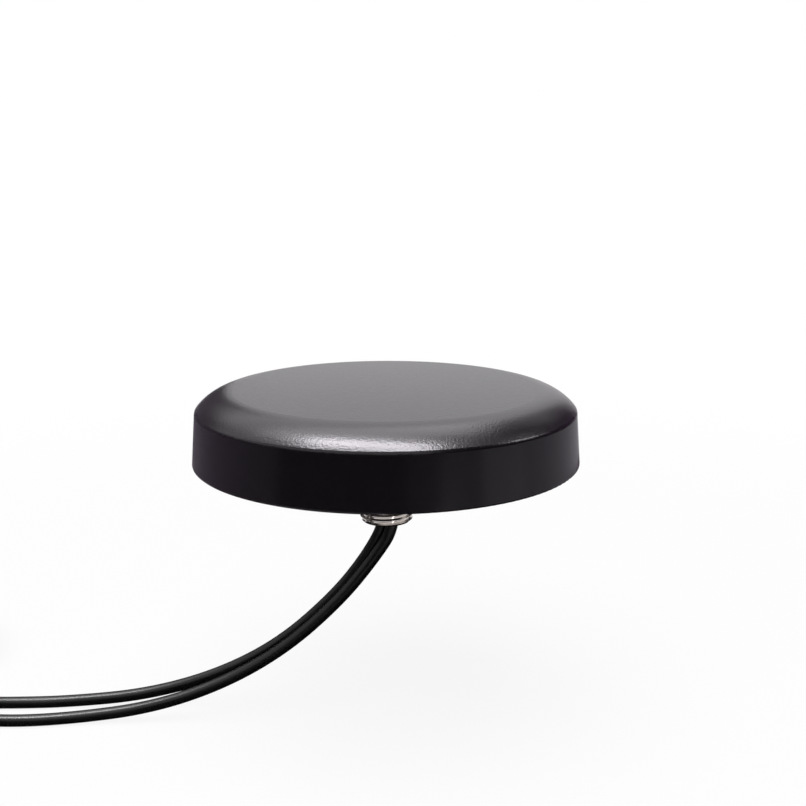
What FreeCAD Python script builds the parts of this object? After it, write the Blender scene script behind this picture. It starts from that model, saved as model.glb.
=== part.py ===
import FreeCAD, Part

import math
import os

import Sketcher
from FreeCAD import Placement, Rotation, Vector

# Combination vehicle antenna for one roof hole: a round moulded radome over a base plate,
# a hollow threaded stud that passes through the roof, and two coaxial cables with screw-on plugs.
# Millimetres, +Z up. The origin is the centre of the seating face, where the foam meets the roof.

# Driving dimensions

SIZES = [
    ("rim_radius", 43.3),
    ("rim_height", 1.0),
    ("wall_draft", 0.85),
    ("crease_height", 12.83),
    ("crease_round", 1.2),
    ("rim_round", 0.4),
    ("shoulder_radius", 11.0),
    ("shoulder_slope", 52.0),
    ("crown_slope", 1.7),
    ("roof_wall", 2.2),
    ("side_wall", 2.2),
    ("skirt_wall", 1.7),
    ("gasket_thickness", 1.2),
    ("gasket_margin", 3.5),
    ("base_thickness", 2.6),
    ("base_gap", 0.2),
    ("seal_inset", 5.2),
    ("seal_width", 1.6),
    ("seal_thickness", 1.3),
    ("groove_depth", 1.6),
    ("groove_gap", 0.1),
    ("boss_inset", 10.5),
    ("boss_radius", 3.5),
    ("pad_radius", 4.0),
    ("pad_height", 1.2),
    ("screw_radius", 1.5),
    ("screw_head_radius", 2.8),
    ("screw_head_height", 1.9),
    ("screw_length", 9.0),
    ("screw_fit", 0.05),
    ("stud_radius", 6.0),
    ("stud_reach", 13.7),
    ("stud_fit", 0.1),
    ("stud_chamfer", 0.6),
    ("undercut_depth", 0.7),
    ("undercut_rise", 0.4),
    ("bore_radius", 4.2),
    ("flange_step", 2.05),
    ("flange_thickness", 2.2),
    ("flange_flat", 1.2),
    ("grommet_head_radius", 5.0),
    ("grommet_head_height", 1.6),
    ("grommet_top_drop", 1.4),
    ("grommet_length", 9.2),
    ("oring_step", 1.4),
    ("oring_section", 0.5),
    ("stud_screw_step", 2.55),
    ("stud_screw_radius", 1.25),
    ("stud_screw_head", 2.3),
    ("stud_screw_head_height", 1.4),
    ("stud_screw_length", 2.7),
    ("board_clearance", 1.5),
    ("board_thickness", 1.0),
    ("board_standoff", 1.8),
    ("board_hole_step", 0.8),
    ("board_screw_inset", 5.5),
    ("board_screw_radius", 1.0),
    ("board_screw_length", 3.0),
    ("post_radius", 2.0),
    ("boss_clearance", 0.5),
    ("patch_offset_share", 0.43),
    ("patch_share", 0.744),
    ("patch_height", 4.0),
    ("patch_board_share", 0.81),
    ("patch_board_thickness", 0.8),
    ("feed_offset", 1.8),
    ("feed_radius", 0.45),
    ("can_share", 0.678),
    ("can_height", 2.2),
    ("can_sheet", 0.3),
    ("can_gap", 0.3),
    ("radiator_inner_share", 0.215),
    ("radiator_outer_share", 0.752),
    ("radiator_height", 5.8),
    ("radiator_sheet", 0.5),
    ("radiator_spread", 36.0),
    ("rib_thickness", 1.0),
    ("rib_height", 1.2),
    ("cable_radius", 1.4),
    ("tie_width", 2.0),
    ("tie_band", 0.8),
    ("lead_bend", 6.0),
    ("floor_drop", 61.0),
    ("coil_middle_radius", 18.2),
    ("coil_columns", 6.0),
    ("coil_rows", 4.0),
    ("coil_strap", 0.8),
    ("coil_strap_width", 6.0),
    ("plug_nut_width", 8.0),
    ("plug_nut_length", 8.5),
    ("plug_thread_radius", 3.0),
    ("plug_journal_radius", 2.75),
    ("plug_collar_radius", 3.4),
    ("plug_barrel_radius", 2.28),
    ("plug_insulator_radius", 1.9),
    ("plug_contact_radius", 0.45),
    ("plug_fit", 0.05),
    ("ferrule_radius", 2.2),
    ("ferrule_length", 8.0),
    ("sleeve_radius", 2.8),
    ("sleeve_length", 13.5),
]

doc = FreeCAD.newDocument("VehicleAntenna")
sheet = doc.addObject("Spreadsheet::Sheet", "Sizes")
for row, (word, number) in enumerate(SIZES, start=1):
    sheet.set(f"A{row}", word)
    sheet.set(f"B{row}", str(number))
    sheet.setAlias(f"B{row}", word)
doc.recompute()


# A size that carries its number and the formula that ties it to the sheet


class Size:
    def __init__(self, number, formula):
        self.number = float(number)
        self.formula = formula

    def __add__(self, other):
        other = as_size(other)
        return Size(self.number + other.number, f"({self.formula} + {other.formula})")

    def __sub__(self, other):
        other = as_size(other)
        return Size(self.number - other.number, f"({self.formula} - {other.formula})")

    def __mul__(self, other):
        other = as_size(other)
        return Size(self.number * other.number, f"({self.formula} * {other.formula})")

    def __truediv__(self, other):
        other = as_size(other)
        return Size(self.number / other.number, f"({self.formula} / {other.formula})")

    def __neg__(self):
        return Size(-self.number, f"(0 - {self.formula})")


def as_size(value):
    if isinstance(value, Size):
        return value
    return Size(value, f"({float(value)})")


def size(word):
    return Size(float(sheet.get(word)), f"Sizes.{word}")


def sine(angle):
    return Size(math.sin(math.radians(angle.number)), f"sin({angle.formula} * 1 deg)")


def cosine(angle):
    return Size(math.cos(math.radians(angle.number)), f"cos({angle.formula} * 1 deg)")


def root(value):
    return Size(math.sqrt(value.number), f"sqrt({value.formula})")


def bind(thing, prop, value):
    value = as_size(value)
    thing.setExpression(prop, value.formula)


# Sketches


def new_body(label):
    body = doc.addObject("PartDesign::Body", label)
    body.Label = label
    return body


def sketch_on(body, name, plane, lift=0.0):
    sketch = body.newObject("Sketcher::SketchObject", name)
    for feature in body.Origin.OriginFeatures:
        if feature.Role == plane:
            sketch.AttachmentSupport = [(feature, "")]
    sketch.MapMode = "FlatFace"
    lift = as_size(lift)
    sketch.AttachmentOffset = Placement(Vector(0, 0, lift.number), Rotation())
    bind(sketch, "AttachmentOffset.Base.z", lift)
    return sketch


def pin_point(sketch, geometry, end, across, up):
    """Fix one point by its distances from the sketch's origin."""
    for kind, axis, value in (("DistanceX", -2, as_size(across)), ("DistanceY", -1, as_size(up))):
        if abs(value.number) < 1e-9:
            sketch.addConstraint(Sketcher.Constraint("PointOnObject", geometry, end, axis))
        elif value.number > 0:
            index = sketch.addConstraint(
                Sketcher.Constraint(kind, -1, 1, geometry, end, value.number))
            sketch.setExpression(f"Constraints[{index}]", value.formula)
        else:
            index = sketch.addConstraint(
                Sketcher.Constraint(kind, geometry, end, -1, 1, -value.number))
            sketch.setExpression(f"Constraints[{index}]", (-value).formula)


def outline(sketch, corners, rounds=None):
    """Closed outline; rounds[i] = (radius, side) makes the side from corner i an arc.

    The side is 1 where the arc bulges to the right of the way travelled, and -1 to the left.
    """
    rounds = rounds or {}
    first = sketch.GeometryCount
    ends = []
    points = [Vector(as_size(a).number, as_size(b).number, 0) for a, b in corners]
    for i, start in enumerate(points):
        stop = points[(i + 1) % len(points)]
        if i not in rounds:
            sketch.addGeometry(Part.LineSegment(start, stop), False)
            ends.append((1, 2))
            continue
        radius, side = as_size(rounds[i][0]), rounds[i][1]
        chord = stop - start
        half = chord.Length / 2
        left = Vector(-chord.y, chord.x, 0).normalize()
        reach = math.sqrt(max(radius.number ** 2 - half ** 2, 0.0))
        centre = (start + stop) * 0.5 + left * (reach * side)
        circle = Part.Circle(centre, Vector(0, 0, 1), radius.number)
        turn_start = math.atan2(start.y - centre.y, start.x - centre.x)
        turn_stop = math.atan2(stop.y - centre.y, stop.x - centre.x)
        if side > 0:
            sketch.addGeometry(Part.ArcOfCircle(circle, turn_start, turn_stop), False)
            ends.append((1, 2))
        else:
            sketch.addGeometry(Part.ArcOfCircle(circle, turn_stop, turn_start), False)
            ends.append((2, 1))
    count = len(points)
    for i in range(count):
        following = (i + 1) % count
        sketch.addConstraint(Sketcher.Constraint(
            "Coincident", first + i, ends[i][1], first + following, ends[following][0]))
    for i, (across, up) in enumerate(corners):
        pin_point(sketch, first + i, ends[i][0], across, up)
    for i, (radius, side) in rounds.items():
        radius = as_size(radius)
        chord = points[(i + 1) % count] - points[i]
        if abs(chord.Length - 2 * radius.number) < 1e-6:
            hold_half_circle(sketch, first + i, corners[i], chord)
            continue
        index = sketch.addConstraint(
            Sketcher.Constraint("Radius", first + i, radius.number))
        sketch.setExpression(f"Constraints[{index}]", radius.formula)


def hold_half_circle(sketch, geometry, corner, chord):
    """A half circle's centre lies on its chord, which its radius alone would leave doubtful."""
    kind, value = "DistanceX", as_size(corner[0])
    if abs(chord.y) < abs(chord.x):
        kind, value = "DistanceY", as_size(corner[1])
    if value.number > 0:
        ends, value = (-1, 1, geometry, 3), value
    else:
        ends, value = (geometry, 3, -1, 1), -value
    index = sketch.addConstraint(Sketcher.Constraint(kind, *ends, value.number))
    sketch.setExpression(f"Constraints[{index}]", value.formula)


def circle(sketch, across, up, radius):
    across, up, radius = as_size(across), as_size(up), as_size(radius)
    centre = Vector(across.number, up.number, 0)
    index = sketch.addGeometry(Part.Circle(centre, Vector(0, 0, 1), radius.number), False)
    pin_point(sketch, index, 3, across, up)
    number = sketch.addConstraint(Sketcher.Constraint("Radius", index, radius.number))
    sketch.setExpression(f"Constraints[{number}]", radius.formula)


def rectangle(sketch, left, right, low, high):
    outline(sketch, [(left, low), (right, low), (right, high), (left, high)])


# Features


def revolve(body, name, sketch, angle=360.0, about="V_Axis"):
    feature = body.newObject("PartDesign::Revolution", name)
    feature.Profile = sketch
    feature.ReferenceAxis = (sketch, [about])
    bind(feature, "Angle", angle)
    if as_size(angle).number < 360.0:
        feature.Midplane = True
    return feature


def groove(body, name, sketch):
    feature = body.newObject("PartDesign::Groove", name)
    feature.Profile = sketch
    feature.ReferenceAxis = (sketch, ["V_Axis"])
    feature.Angle = 360.0
    return feature


def pad(body, name, sketch, length, down=False):
    feature = body.newObject("PartDesign::Pad", name)
    feature.Profile = sketch
    bind(feature, "Length", length)
    feature.Reversed = down
    return feature


def pocket(body, name, sketch, depth, up=False):
    feature = body.newObject("PartDesign::Pocket", name)
    feature.Profile = sketch
    bind(feature, "Length", depth)
    feature.Reversed = up
    return feature


def repeat_round(body, name, sketch, features, count):
    feature = body.newObject("PartDesign::PolarPattern", name)
    feature.Originals = features
    feature.Axis = (sketch, ["N_Axis"])
    feature.Angle = 360.0
    feature.Occurrences = count
    body.Tip = feature
    return feature


def group(label, source, places):
    """Copies of one piece at several places, kept as separate solids of one node."""
    doc.recompute()
    copies = []
    for place in places:
        solid = source.Shape.copy()
        solid.Placement = place.multiply(solid.Placement)
        copies.append(solid)
    piece = doc.addObject("Part::Feature", label)
    piece.Label = label
    piece.Shape = Part.makeCompound(copies)
    return piece


def tube(label, route, radius):
    """Round cable along straight runs joined by the widest tangent arcs that the runs allow."""
    points = [Vector(*point) for point in route]
    edges, radii = [], []
    start = points[0]
    for before, corner, after in zip(points, points[1:], points[2:]):
        inward, outward = corner - before, after - corner
        turn = inward.getAngle(outward)
        reach = 0.45 * min(inward.Length, outward.Length)
        radii.append(reach / math.tan(turn / 2))
        arc_start = corner - inward.normalize() * reach
        arc_stop = corner + outward.normalize() * reach
        to_centre = (arc_start + arc_stop) * 0.5 - corner
        bend = radii[-1] / math.cos(turn / 2) - radii[-1]
        middle = corner + to_centre.normalize() * bend
        edges.append(Part.LineSegment(start, arc_start).toShape())
        edges.append(Part.Arc(arc_start, middle, arc_stop).toShape())
        start = arc_stop
    edges.append(Part.LineSegment(start, points[-1]).toShape())
    path = Part.Wire(edges)
    section = Part.Wire(Part.Circle(points[0], points[1] - points[0], radius).toShape())
    piece = doc.addObject("Part::Feature", label)
    piece.Label = label
    piece.Shape = path.makePipeShell([section], True, False)
    expected = math.pi * radius ** 2 * path.Length
    print(label, "length", round(path.Length, 2), "smallest radius", round(min(radii), 2),
          "volume share", round(piece.Shape.Volume / expected, 5))
    return piece


# Shared levels and places

rim_radius = size("rim_radius")
gasket_top = size("gasket_thickness")
base_top = gasket_top + size("base_thickness")
groove_floor = base_top - size("groove_depth")
seal_top = groove_floor + size("seal_thickness")
skirt_inside = rim_radius - size("skirt_wall")
base_radius = skirt_inside - size("base_gap")
crease_radius = rim_radius - size("wall_draft")
cavity_radius = crease_radius - size("side_wall")
seal_middle = rim_radius - size("seal_inset")
seal_outer = seal_middle + size("seal_width") / 2
seal_inner = seal_middle - size("seal_width") / 2
boss_circle = rim_radius - size("boss_inset")
pad_top = base_top + size("pad_height")
flange_top = base_top + size("flange_thickness")
grommet_top = flange_top - size("grommet_top_drop")
grommet_seat = grommet_top - size("grommet_head_height")
board_bottom = base_top + size("board_standoff")
board_top = board_bottom + size("board_thickness")
patch_bottom = board_top + size("patch_board_thickness")
patch_top = patch_bottom + size("patch_height")
cable_radius = size("cable_radius")

# The flange grows outwards step by step: seal ring, screws, rim; the board's hole clears it

oring_radius = size("stud_radius") + size("oring_step")
stud_screw_circle = oring_radius + size("stud_screw_step")
flange_radius = stud_screw_circle + size("flange_step")
board_hole_radius = flange_radius + size("board_hole_step")

# The board fills the room inside the seal tongue, and what stands on it takes shares of its width

board_room = seal_inner - board_hole_radius
board_radius = seal_inner - size("board_clearance")
board_screw_circle = board_radius - size("board_screw_inset")
patch_offset = board_hole_radius + board_room * size("patch_offset_share")
patch_width = board_room * size("patch_share")
patch_board_width = board_room * size("patch_board_share")
can_width = board_room * size("can_share")
radiator_inner = board_hole_radius + board_room * size("radiator_inner_share")
radiator_outer = board_hole_radius + board_room * size("radiator_outer_share")

shoulder_reach = size("shoulder_radius") * (sine(size("shoulder_slope")) - sine(size("crown_slope")))
shoulder_rise = size("shoulder_radius") * (cosine(size("crown_slope")) - cosine(size("shoulder_slope")))
crown_radius = crease_radius - shoulder_reach
crown_height = size("crease_height") + shoulder_rise
crown_sphere = crown_radius / sine(size("crown_slope"))
apex_height = crown_height + crown_sphere * (as_size(1.0) - cosine(size("crown_slope")))
inner_roof = crown_height - size("roof_wall")
inner_round = size("shoulder_radius") - size("roof_wall")


# Radome: one moulding with a tongue that presses the seal, four screw bosses and short gussets


def make_radome():
    body = new_body("radome")
    profile = sketch_on(body, "RadomeProfile", "XZ_Plane")
    outline(profile, [
        (0.0, inner_roof),
        (cavity_radius - inner_round, inner_roof),
        (cavity_radius, inner_roof - inner_round),
        (cavity_radius, base_top),
        (skirt_inside, base_top),
        (skirt_inside, size("rim_height")),
        (rim_radius, size("rim_height")),
        (crease_radius, size("crease_height")),
        (crown_radius, crown_height),
        (0.0, apex_height),
    ], rounds={1: (inner_round, -1), 7: (size("shoulder_radius"), 1), 8: (crown_sphere, 1)})
    revolve(body, "RadomeShell", profile)

    tongue = sketch_on(body, "TongueProfile", "XZ_Plane")
    rectangle(tongue, seal_inner, seal_outer, seal_top, inner_roof)
    revolve(body, "SealTongue", tongue)

    foot = sketch_on(body, "BossProfile", "XY_Plane", pad_top)
    circle(foot, boss_circle * cosine(as_size(45.0)), boss_circle * sine(as_size(45.0)),
           size("boss_radius"))
    boss = pad(body, "ScrewBoss", foot, inner_roof + size("roof_wall") / 2 - pad_top)
    pilot = sketch_on(body, "PilotProfile", "XY_Plane", pad_top)
    circle(pilot, boss_circle * cosine(as_size(45.0)), boss_circle * sine(as_size(45.0)),
           size("screw_radius") + size("screw_fit"))
    hole = pocket(body, "PilotHole", pilot, size("screw_length"), up=True)
    repeat_round(body, "ScrewBosses", foot, [boss, hole], 4)

    web = sketch_on(body, "GussetProfile", "XY_Plane", board_top + size("roof_wall"))
    half = size("rib_thickness") / 2
    rectangle(web, seal_inner - size("seal_width") * 2, seal_inner + size("seal_width") / 2,
              -half, half)
    rib = pad(body, "Gusset", web, inner_roof + size("roof_wall") / 4 - board_top - size("roof_wall"))
    repeat_round(body, "Gussets", web, [rib], 12)

    round_ring(body, "CreaseRound", crease_radius, size("crease_height"), size("crease_round"))
    round_ring(body, "RimRound", rim_radius, size("rim_height"), size("rim_round"))


def round_ring(body, name, radius, height, softness):
    doc.recompute()
    base = body.Tip
    names = find_rings(base.Shape, radius.number, height.number)
    feature = body.newObject("PartDesign::Fillet", name)
    feature.Base = (base, names)
    bind(feature, "Radius", softness)
    body.Tip = feature


def find_rings(shape, radius, height):
    """Names of the round edges of this radius at this height, about the Z axis."""
    names = []
    for index, edge in enumerate(shape.Edges, start=1):
        if edge.Degenerated:
            continue
        curve = edge.Curve
        if not isinstance(curve, Part.Circle):
            continue
        centred = math.hypot(curve.Center.x, curve.Center.y) < 1e-3
        if centred and abs(curve.Radius - radius) < 1e-3 and abs(curve.Center.z - height) < 1e-3:
            names.append(f"Edge{index}")
    return names


# Base plate: a moulded disc with the seal groove, screw pads, board posts and ribs


RIB_ANGLE = 30.0


def make_base_plate():
    body = new_body("base_plate")
    profile = sketch_on(body, "BaseProfile", "XZ_Plane")
    groove_inside = seal_inner - size("groove_gap")
    groove_outside = seal_outer + size("groove_gap")
    outline(profile, [
        (size("stud_radius") + size("stud_fit"), gasket_top),
        (base_radius, gasket_top),
        (base_radius, base_top),
        (groove_outside, base_top),
        (groove_outside, groove_floor),
        (groove_inside, groove_floor),
        (groove_inside, base_top),
        (size("stud_radius") + size("stud_fit"), base_top),
    ])
    revolve(body, "BaseDisc", profile)

    top = sketch_on(body, "PadProfile", "XY_Plane", base_top)
    at = boss_circle * cosine(as_size(45.0))
    circle(top, at, at, size("pad_radius"))
    screw_pad = pad(body, "ScrewPad", top, size("pad_height"))
    through = sketch_on(body, "ScrewHoleProfile", "XY_Plane", gasket_top)
    circle(through, at, at, size("screw_radius") + size("screw_fit"))
    hole = pocket(body, "ScrewHole", through, pad_top, up=True)
    sink = sketch_on(body, "ScrewHeadProfile", "XY_Plane", gasket_top)
    circle(sink, at, at, size("screw_head_radius") + size("groove_gap") * 3)
    recess = pocket(body, "ScrewHeadRecess", sink, size("screw_head_height") + size("groove_gap"),
                    up=True)
    repeat_round(body, "HousingScrewHoles", top, [screw_pad, hole, recess], 4)

    low = sketch_on(body, "StudScrewProfile", "XY_Plane", gasket_top)
    circle(low, 0.0, stud_screw_circle, size("stud_screw_radius") + size("screw_fit"))
    small = pocket(body, "StudScrewHole", low, size("base_thickness"), up=True)
    low_sink = sketch_on(body, "StudScrewHeadProfile", "XY_Plane", gasket_top)
    circle(low_sink, 0.0, stud_screw_circle, size("stud_screw_head") + size("groove_gap"))
    seat = pocket(body, "StudScrewRecess", low_sink,
                  size("stud_screw_head_height") + size("groove_gap"), up=True)
    repeat_round(body, "StudScrewHoles", low, [small, seat], 3)

    posts = sketch_on(body, "PostProfile", "XY_Plane", base_top)
    for across, up in board_screw_places() + board_rest_places():
        circle(posts, across, up, size("post_radius"))
    pad(body, "BoardPosts", posts, size("board_standoff"))

    web = sketch_on(body, "RibProfile", "XY_Plane", base_top)
    half = size("rib_thickness") / 2
    slope = as_size(RIB_ANGLE)
    inside, outside = board_hole_radius + size("rib_height") * 6, seal_inner - size("rib_thickness")
    outline(web, [
        (inside * cosine(slope) + half * sine(slope), inside * sine(slope) - half * cosine(slope)),
        (outside * cosine(slope) + half * sine(slope), outside * sine(slope) - half * cosine(slope)),
        (outside * cosine(slope) - half * sine(slope), outside * sine(slope) + half * cosine(slope)),
        (inside * cosine(slope) - half * sine(slope), inside * sine(slope) + half * cosine(slope)),
    ])
    rib = pad(body, "Rib", web, size("rib_height"))
    repeat_round(body, "Ribs", web, [rib], 6)

    stops = sketch_on(body, "FlatStopProfile", "XY_Plane", base_top)
    flat = flange_radius - size("flange_flat") + size("groove_gap")
    long_half = size("stud_radius") / 2
    rectangle(stops, flat, flat + size("rib_thickness"), -long_half, long_half)
    rectangle(stops, -(flat + size("rib_thickness")), -flat, -long_half, long_half)
    pad(body, "FlatStops", stops, size("rib_height"))

    drilled = sketch_on(body, "PostHoleProfile", "XY_Plane", board_bottom)
    for across, up in board_screw_places():
        circle(drilled, across, up, size("board_screw_radius") + size("screw_fit"))
    pocket(body, "PostHoles", drilled, size("board_screw_length") - size("board_thickness") + 0.2)


def board_screw_places():
    reach = board_screw_circle
    return [(0.0, reach), (-reach, 0.0), (0.0, -reach)]


def board_rest_places():
    across = patch_offset - can_width * 0.4
    up = can_width / 2 + size("post_radius") * 3.4
    return [(across, up), (across, -up)]


def make_housing_seal():
    body = new_body("housing_seal")
    profile = sketch_on(body, "SealProfile", "XZ_Plane")
    corner = size("groove_gap") * 3
    outline(profile, [
        (seal_inner + corner, groove_floor),
        (seal_outer - corner, groove_floor),
        (seal_outer, groove_floor + corner),
        (seal_outer, seal_top - corner),
        (seal_outer - corner, seal_top),
        (seal_inner + corner, seal_top),
        (seal_inner, seal_top - corner),
        (seal_inner, groove_floor + corner),
    ])
    revolve(body, "SealRing", profile)


def make_mounting_gasket():
    body = new_body("mounting_gasket")
    profile = sketch_on(body, "FoamProfile", "XZ_Plane")
    rectangle(profile, size("stud_radius") + size("stud_fit") * 6,
              rim_radius - size("gasket_margin"), 0.0, gasket_top)
    revolve(body, "FoamRing", profile)


# Stud: turned brass, flange inside the housing, fine thread below, bored for the cables


def make_threaded_stud():
    body = new_body("threaded_stud")
    profile = sketch_on(body, "StudProfile", "XZ_Plane")
    tip = -size("stud_reach")
    chamfer = size("stud_chamfer")
    undercut = size("stud_radius") - size("undercut_depth")
    neck_top = gasket_top
    outline(profile, [
        (size("bore_radius"), tip),
        (size("stud_radius") - chamfer, tip),
        (size("stud_radius"), tip + chamfer),
        (size("stud_radius"), 0.0),
        (undercut, size("undercut_rise")),
        (undercut, neck_top),
        (size("stud_radius"), neck_top + size("undercut_depth")),
        (size("stud_radius"), base_top),
        (flange_radius, base_top),
        (flange_radius, flange_top - chamfer / 2),
        (flange_radius - chamfer / 2, flange_top),
        (size("grommet_head_radius"), flange_top),
        (size("grommet_head_radius"), grommet_seat),
        (size("bore_radius"), grommet_seat),
    ])
    revolve(body, "StudTurning", profile)

    ring = sketch_on(body, "OringGrooveProfile", "XZ_Plane")
    side = size("oring_section") + size("groove_gap") * 2
    rectangle(ring, oring_radius - side, oring_radius + side,
              base_top - size("groove_gap"), base_top + size("oring_section") * 2)
    groove(body, "OringGroove", ring)

    cut = sketch_on(body, "FlatProfile", "XY_Plane", flange_top)
    flat = flange_radius - size("flange_flat")
    beyond = flange_radius + size("flange_flat")
    rectangle(cut, flat, beyond, -beyond, beyond)
    rectangle(cut, -beyond, -flat, -beyond, beyond)
    pocket(body, "FlangeFlats", cut, size("flange_thickness"))

    tapped = sketch_on(body, "TappedProfile", "XY_Plane", base_top)
    circle(tapped, 0.0, stud_screw_circle, size("stud_screw_radius") + size("screw_fit"))
    hole = pocket(body, "TappedHole", tapped, size("flange_thickness"), up=True)
    repeat_round(body, "TappedHoles", tapped, [hole], 3)


def make_stud_seal():
    ring = doc.addObject("Part::Torus", "stud_seal")
    ring.Label = "stud_seal"
    bind(ring, "Radius1", oring_radius)
    bind(ring, "Radius2", size("oring_section"))
    bind(ring, "Placement.Base.z", base_top + size("oring_section"))


def screw_solid(name, shank_radius, length, head_radius, head_height, under_head):
    """A pan-head screw that points up, its head's underside at the level under_head."""
    body = new_body(name)
    profile = sketch_on(body, name + "Profile", "XZ_Plane")
    low = under_head - head_height
    rim = head_height * 0.35
    outline(profile, [
        (0.0, low),
        (head_radius - rim, low),
        (head_radius, low + rim),
        (head_radius, under_head),
        (shank_radius, under_head),
        (shank_radius, under_head + length - shank_radius),
        (shank_radius * 0.3, under_head + length),
        (0.0, under_head + length),
    ])
    revolve(body, name + "Turning", profile)
    slot = sketch_on(body, name + "DriveProfile", "XY_Plane", low)
    arm, half = head_radius * 0.6, head_radius * 0.14
    outline(slot, [
        (arm, -half), (arm, half), (half, half), (half, arm), (-half, arm), (-half, half),
        (-arm, half), (-arm, -half), (-half, -half), (-half, -arm), (half, -arm), (half, -half),
    ])
    pocket(body, name + "Drive", slot, head_height * 0.55, up=True)
    return body


def turned(angle):
    return Placement(Vector(), Rotation(Vector(0, 0, 1), angle))


def make_housing_screws():
    source = screw_solid("HousingScrew", size("screw_radius"),
                         size("screw_length"), size("screw_head_radius"),
                         size("screw_head_height"), gasket_top + size("screw_head_height")
                         + size("groove_gap"))
    at = Vector(boss_circle.number, 0, 0)
    group("housing_screws", source, [
        turned(angle).multiply(Placement(at, Rotation())) for angle in (45, 135, 225, 315)])


def make_stud_screws():
    source = screw_solid("StudScrew", size("stud_screw_radius"),
                         size("stud_screw_length"), size("stud_screw_head"),
                         size("stud_screw_head_height"), gasket_top
                         + size("stud_screw_head_height") + size("groove_gap"))
    at = Vector(stud_screw_circle.number, 0, 0)
    group("stud_screws", source, [
        turned(angle).multiply(Placement(at, Rotation())) for angle in (90, 210, 330)])


# Where the two cables stand in the stud, as seen from above

GNSS_PLACE = (1.65, -1.20)
CELL_PLACE = (0.15, 1.20)


def make_cable_grommet():
    body = new_body("cable_grommet")
    profile = sketch_on(body, "GrommetProfile", "XZ_Plane")
    low = grommet_seat - size("grommet_length")
    soften = size("groove_gap") * 4
    outline(profile, [
        (0.0, low),
        (size("bore_radius") - soften, low),
        (size("bore_radius"), low + soften),
        (size("bore_radius"), grommet_seat),
        (size("grommet_head_radius"), grommet_seat),
        (size("grommet_head_radius"), grommet_top),
        (0.0, grommet_top),
    ])
    revolve(body, "GrommetBody", profile)
    holes = sketch_on(body, "GrommetHoleProfile", "XY_Plane", grommet_top)
    circle(holes, GNSS_PLACE[0], GNSS_PLACE[1], cable_radius)
    circle(holes, CELL_PLACE[0], CELL_PLACE[1], cable_radius)
    pocket(body, "CableHoles", holes, size("grommet_head_height") + size("grommet_length"))


def make_lead_tie():
    """A small nylon tie round both leads on top of the grommet, so that they can't pull out."""
    body = new_body("lead_tie")
    ring = sketch_on(body, "TieProfile", "XY_Plane", grommet_top)
    half = math.dist(GNSS_PLACE, CELL_PLACE) / 2
    inner, outer = cable_radius, cable_radius + size("tie_band")
    for radius in (outer, inner):
        outline(ring, [(half, -radius), (half, radius), (-half, radius), (-half, -radius)],
                rounds={0: (radius, 1), 2: (radius, 1)})
    pad(body, "TieBand", ring, size("tie_width"))
    lock = sketch_on(body, "TieLockProfile", "XY_Plane", grommet_top)
    width = size("tie_width") * 0.6
    rectangle(lock, -width, width, -(outer + size("tie_band") * 1.2), -(inner + size("tie_band") / 2))
    pad(body, "TieLock", lock, size("tie_width"))
    middle = Vector((GNSS_PLACE[0] + CELL_PLACE[0]) / 2, (GNSS_PLACE[1] + CELL_PLACE[1]) / 2, 0)
    lean = math.degrees(math.atan2(GNSS_PLACE[1] - CELL_PLACE[1], GNSS_PLACE[0] - CELL_PLACE[0]))
    body.Placement = Placement(middle, Rotation(Vector(0, 0, 1), lean))


# Boards: a round carrier for the cellular radiator, with a window for the satellite module


def make_carrier_board():
    body = new_body("carrier_board")
    disc = sketch_on(body, "BoardProfile", "XY_Plane", board_bottom)
    circle(disc, 0.0, 0.0, board_radius)
    circle(disc, 0.0, 0.0, board_hole_radius)
    pad(body, "BoardDisc", disc, size("board_thickness"))
    window = sketch_on(body, "WindowProfile", "XY_Plane", board_top)
    half = can_width / 2 + size("can_gap")
    rectangle(window, patch_offset - half, patch_offset + half, -half, half)
    pocket(body, "ModuleWindow", window, size("board_thickness"))
    holes = sketch_on(body, "BoardScrewProfile", "XY_Plane", board_top)
    for across, up in board_screw_places():
        circle(holes, across, up, size("board_screw_radius") + size("screw_fit"))
    pocket(body, "BoardScrewHoles", holes, size("board_thickness"))
    notch = sketch_on(body, "NotchProfile", "XY_Plane", board_top)
    at = boss_circle * cosine(as_size(45.0))
    circle(notch, at, at, size("boss_radius") + size("boss_clearance"))
    bite = pocket(body, "BossNotch", notch, size("board_thickness"))
    repeat_round(body, "BossNotches", notch, [bite], 4)


def make_board_screws():
    source = screw_solid("BoardScrew", size("board_screw_radius"), size("board_screw_length"),
                         size("board_screw_radius") * 1.9, size("board_screw_radius") * 1.2,
                         as_size(0.0))
    flip = Rotation(Vector(1, 0, 0), 180)
    group("board_screws", source, [
        Placement(Vector(as_size(across).number, as_size(up).number, board_top.number), flip)
        for across, up in board_screw_places()])


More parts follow.
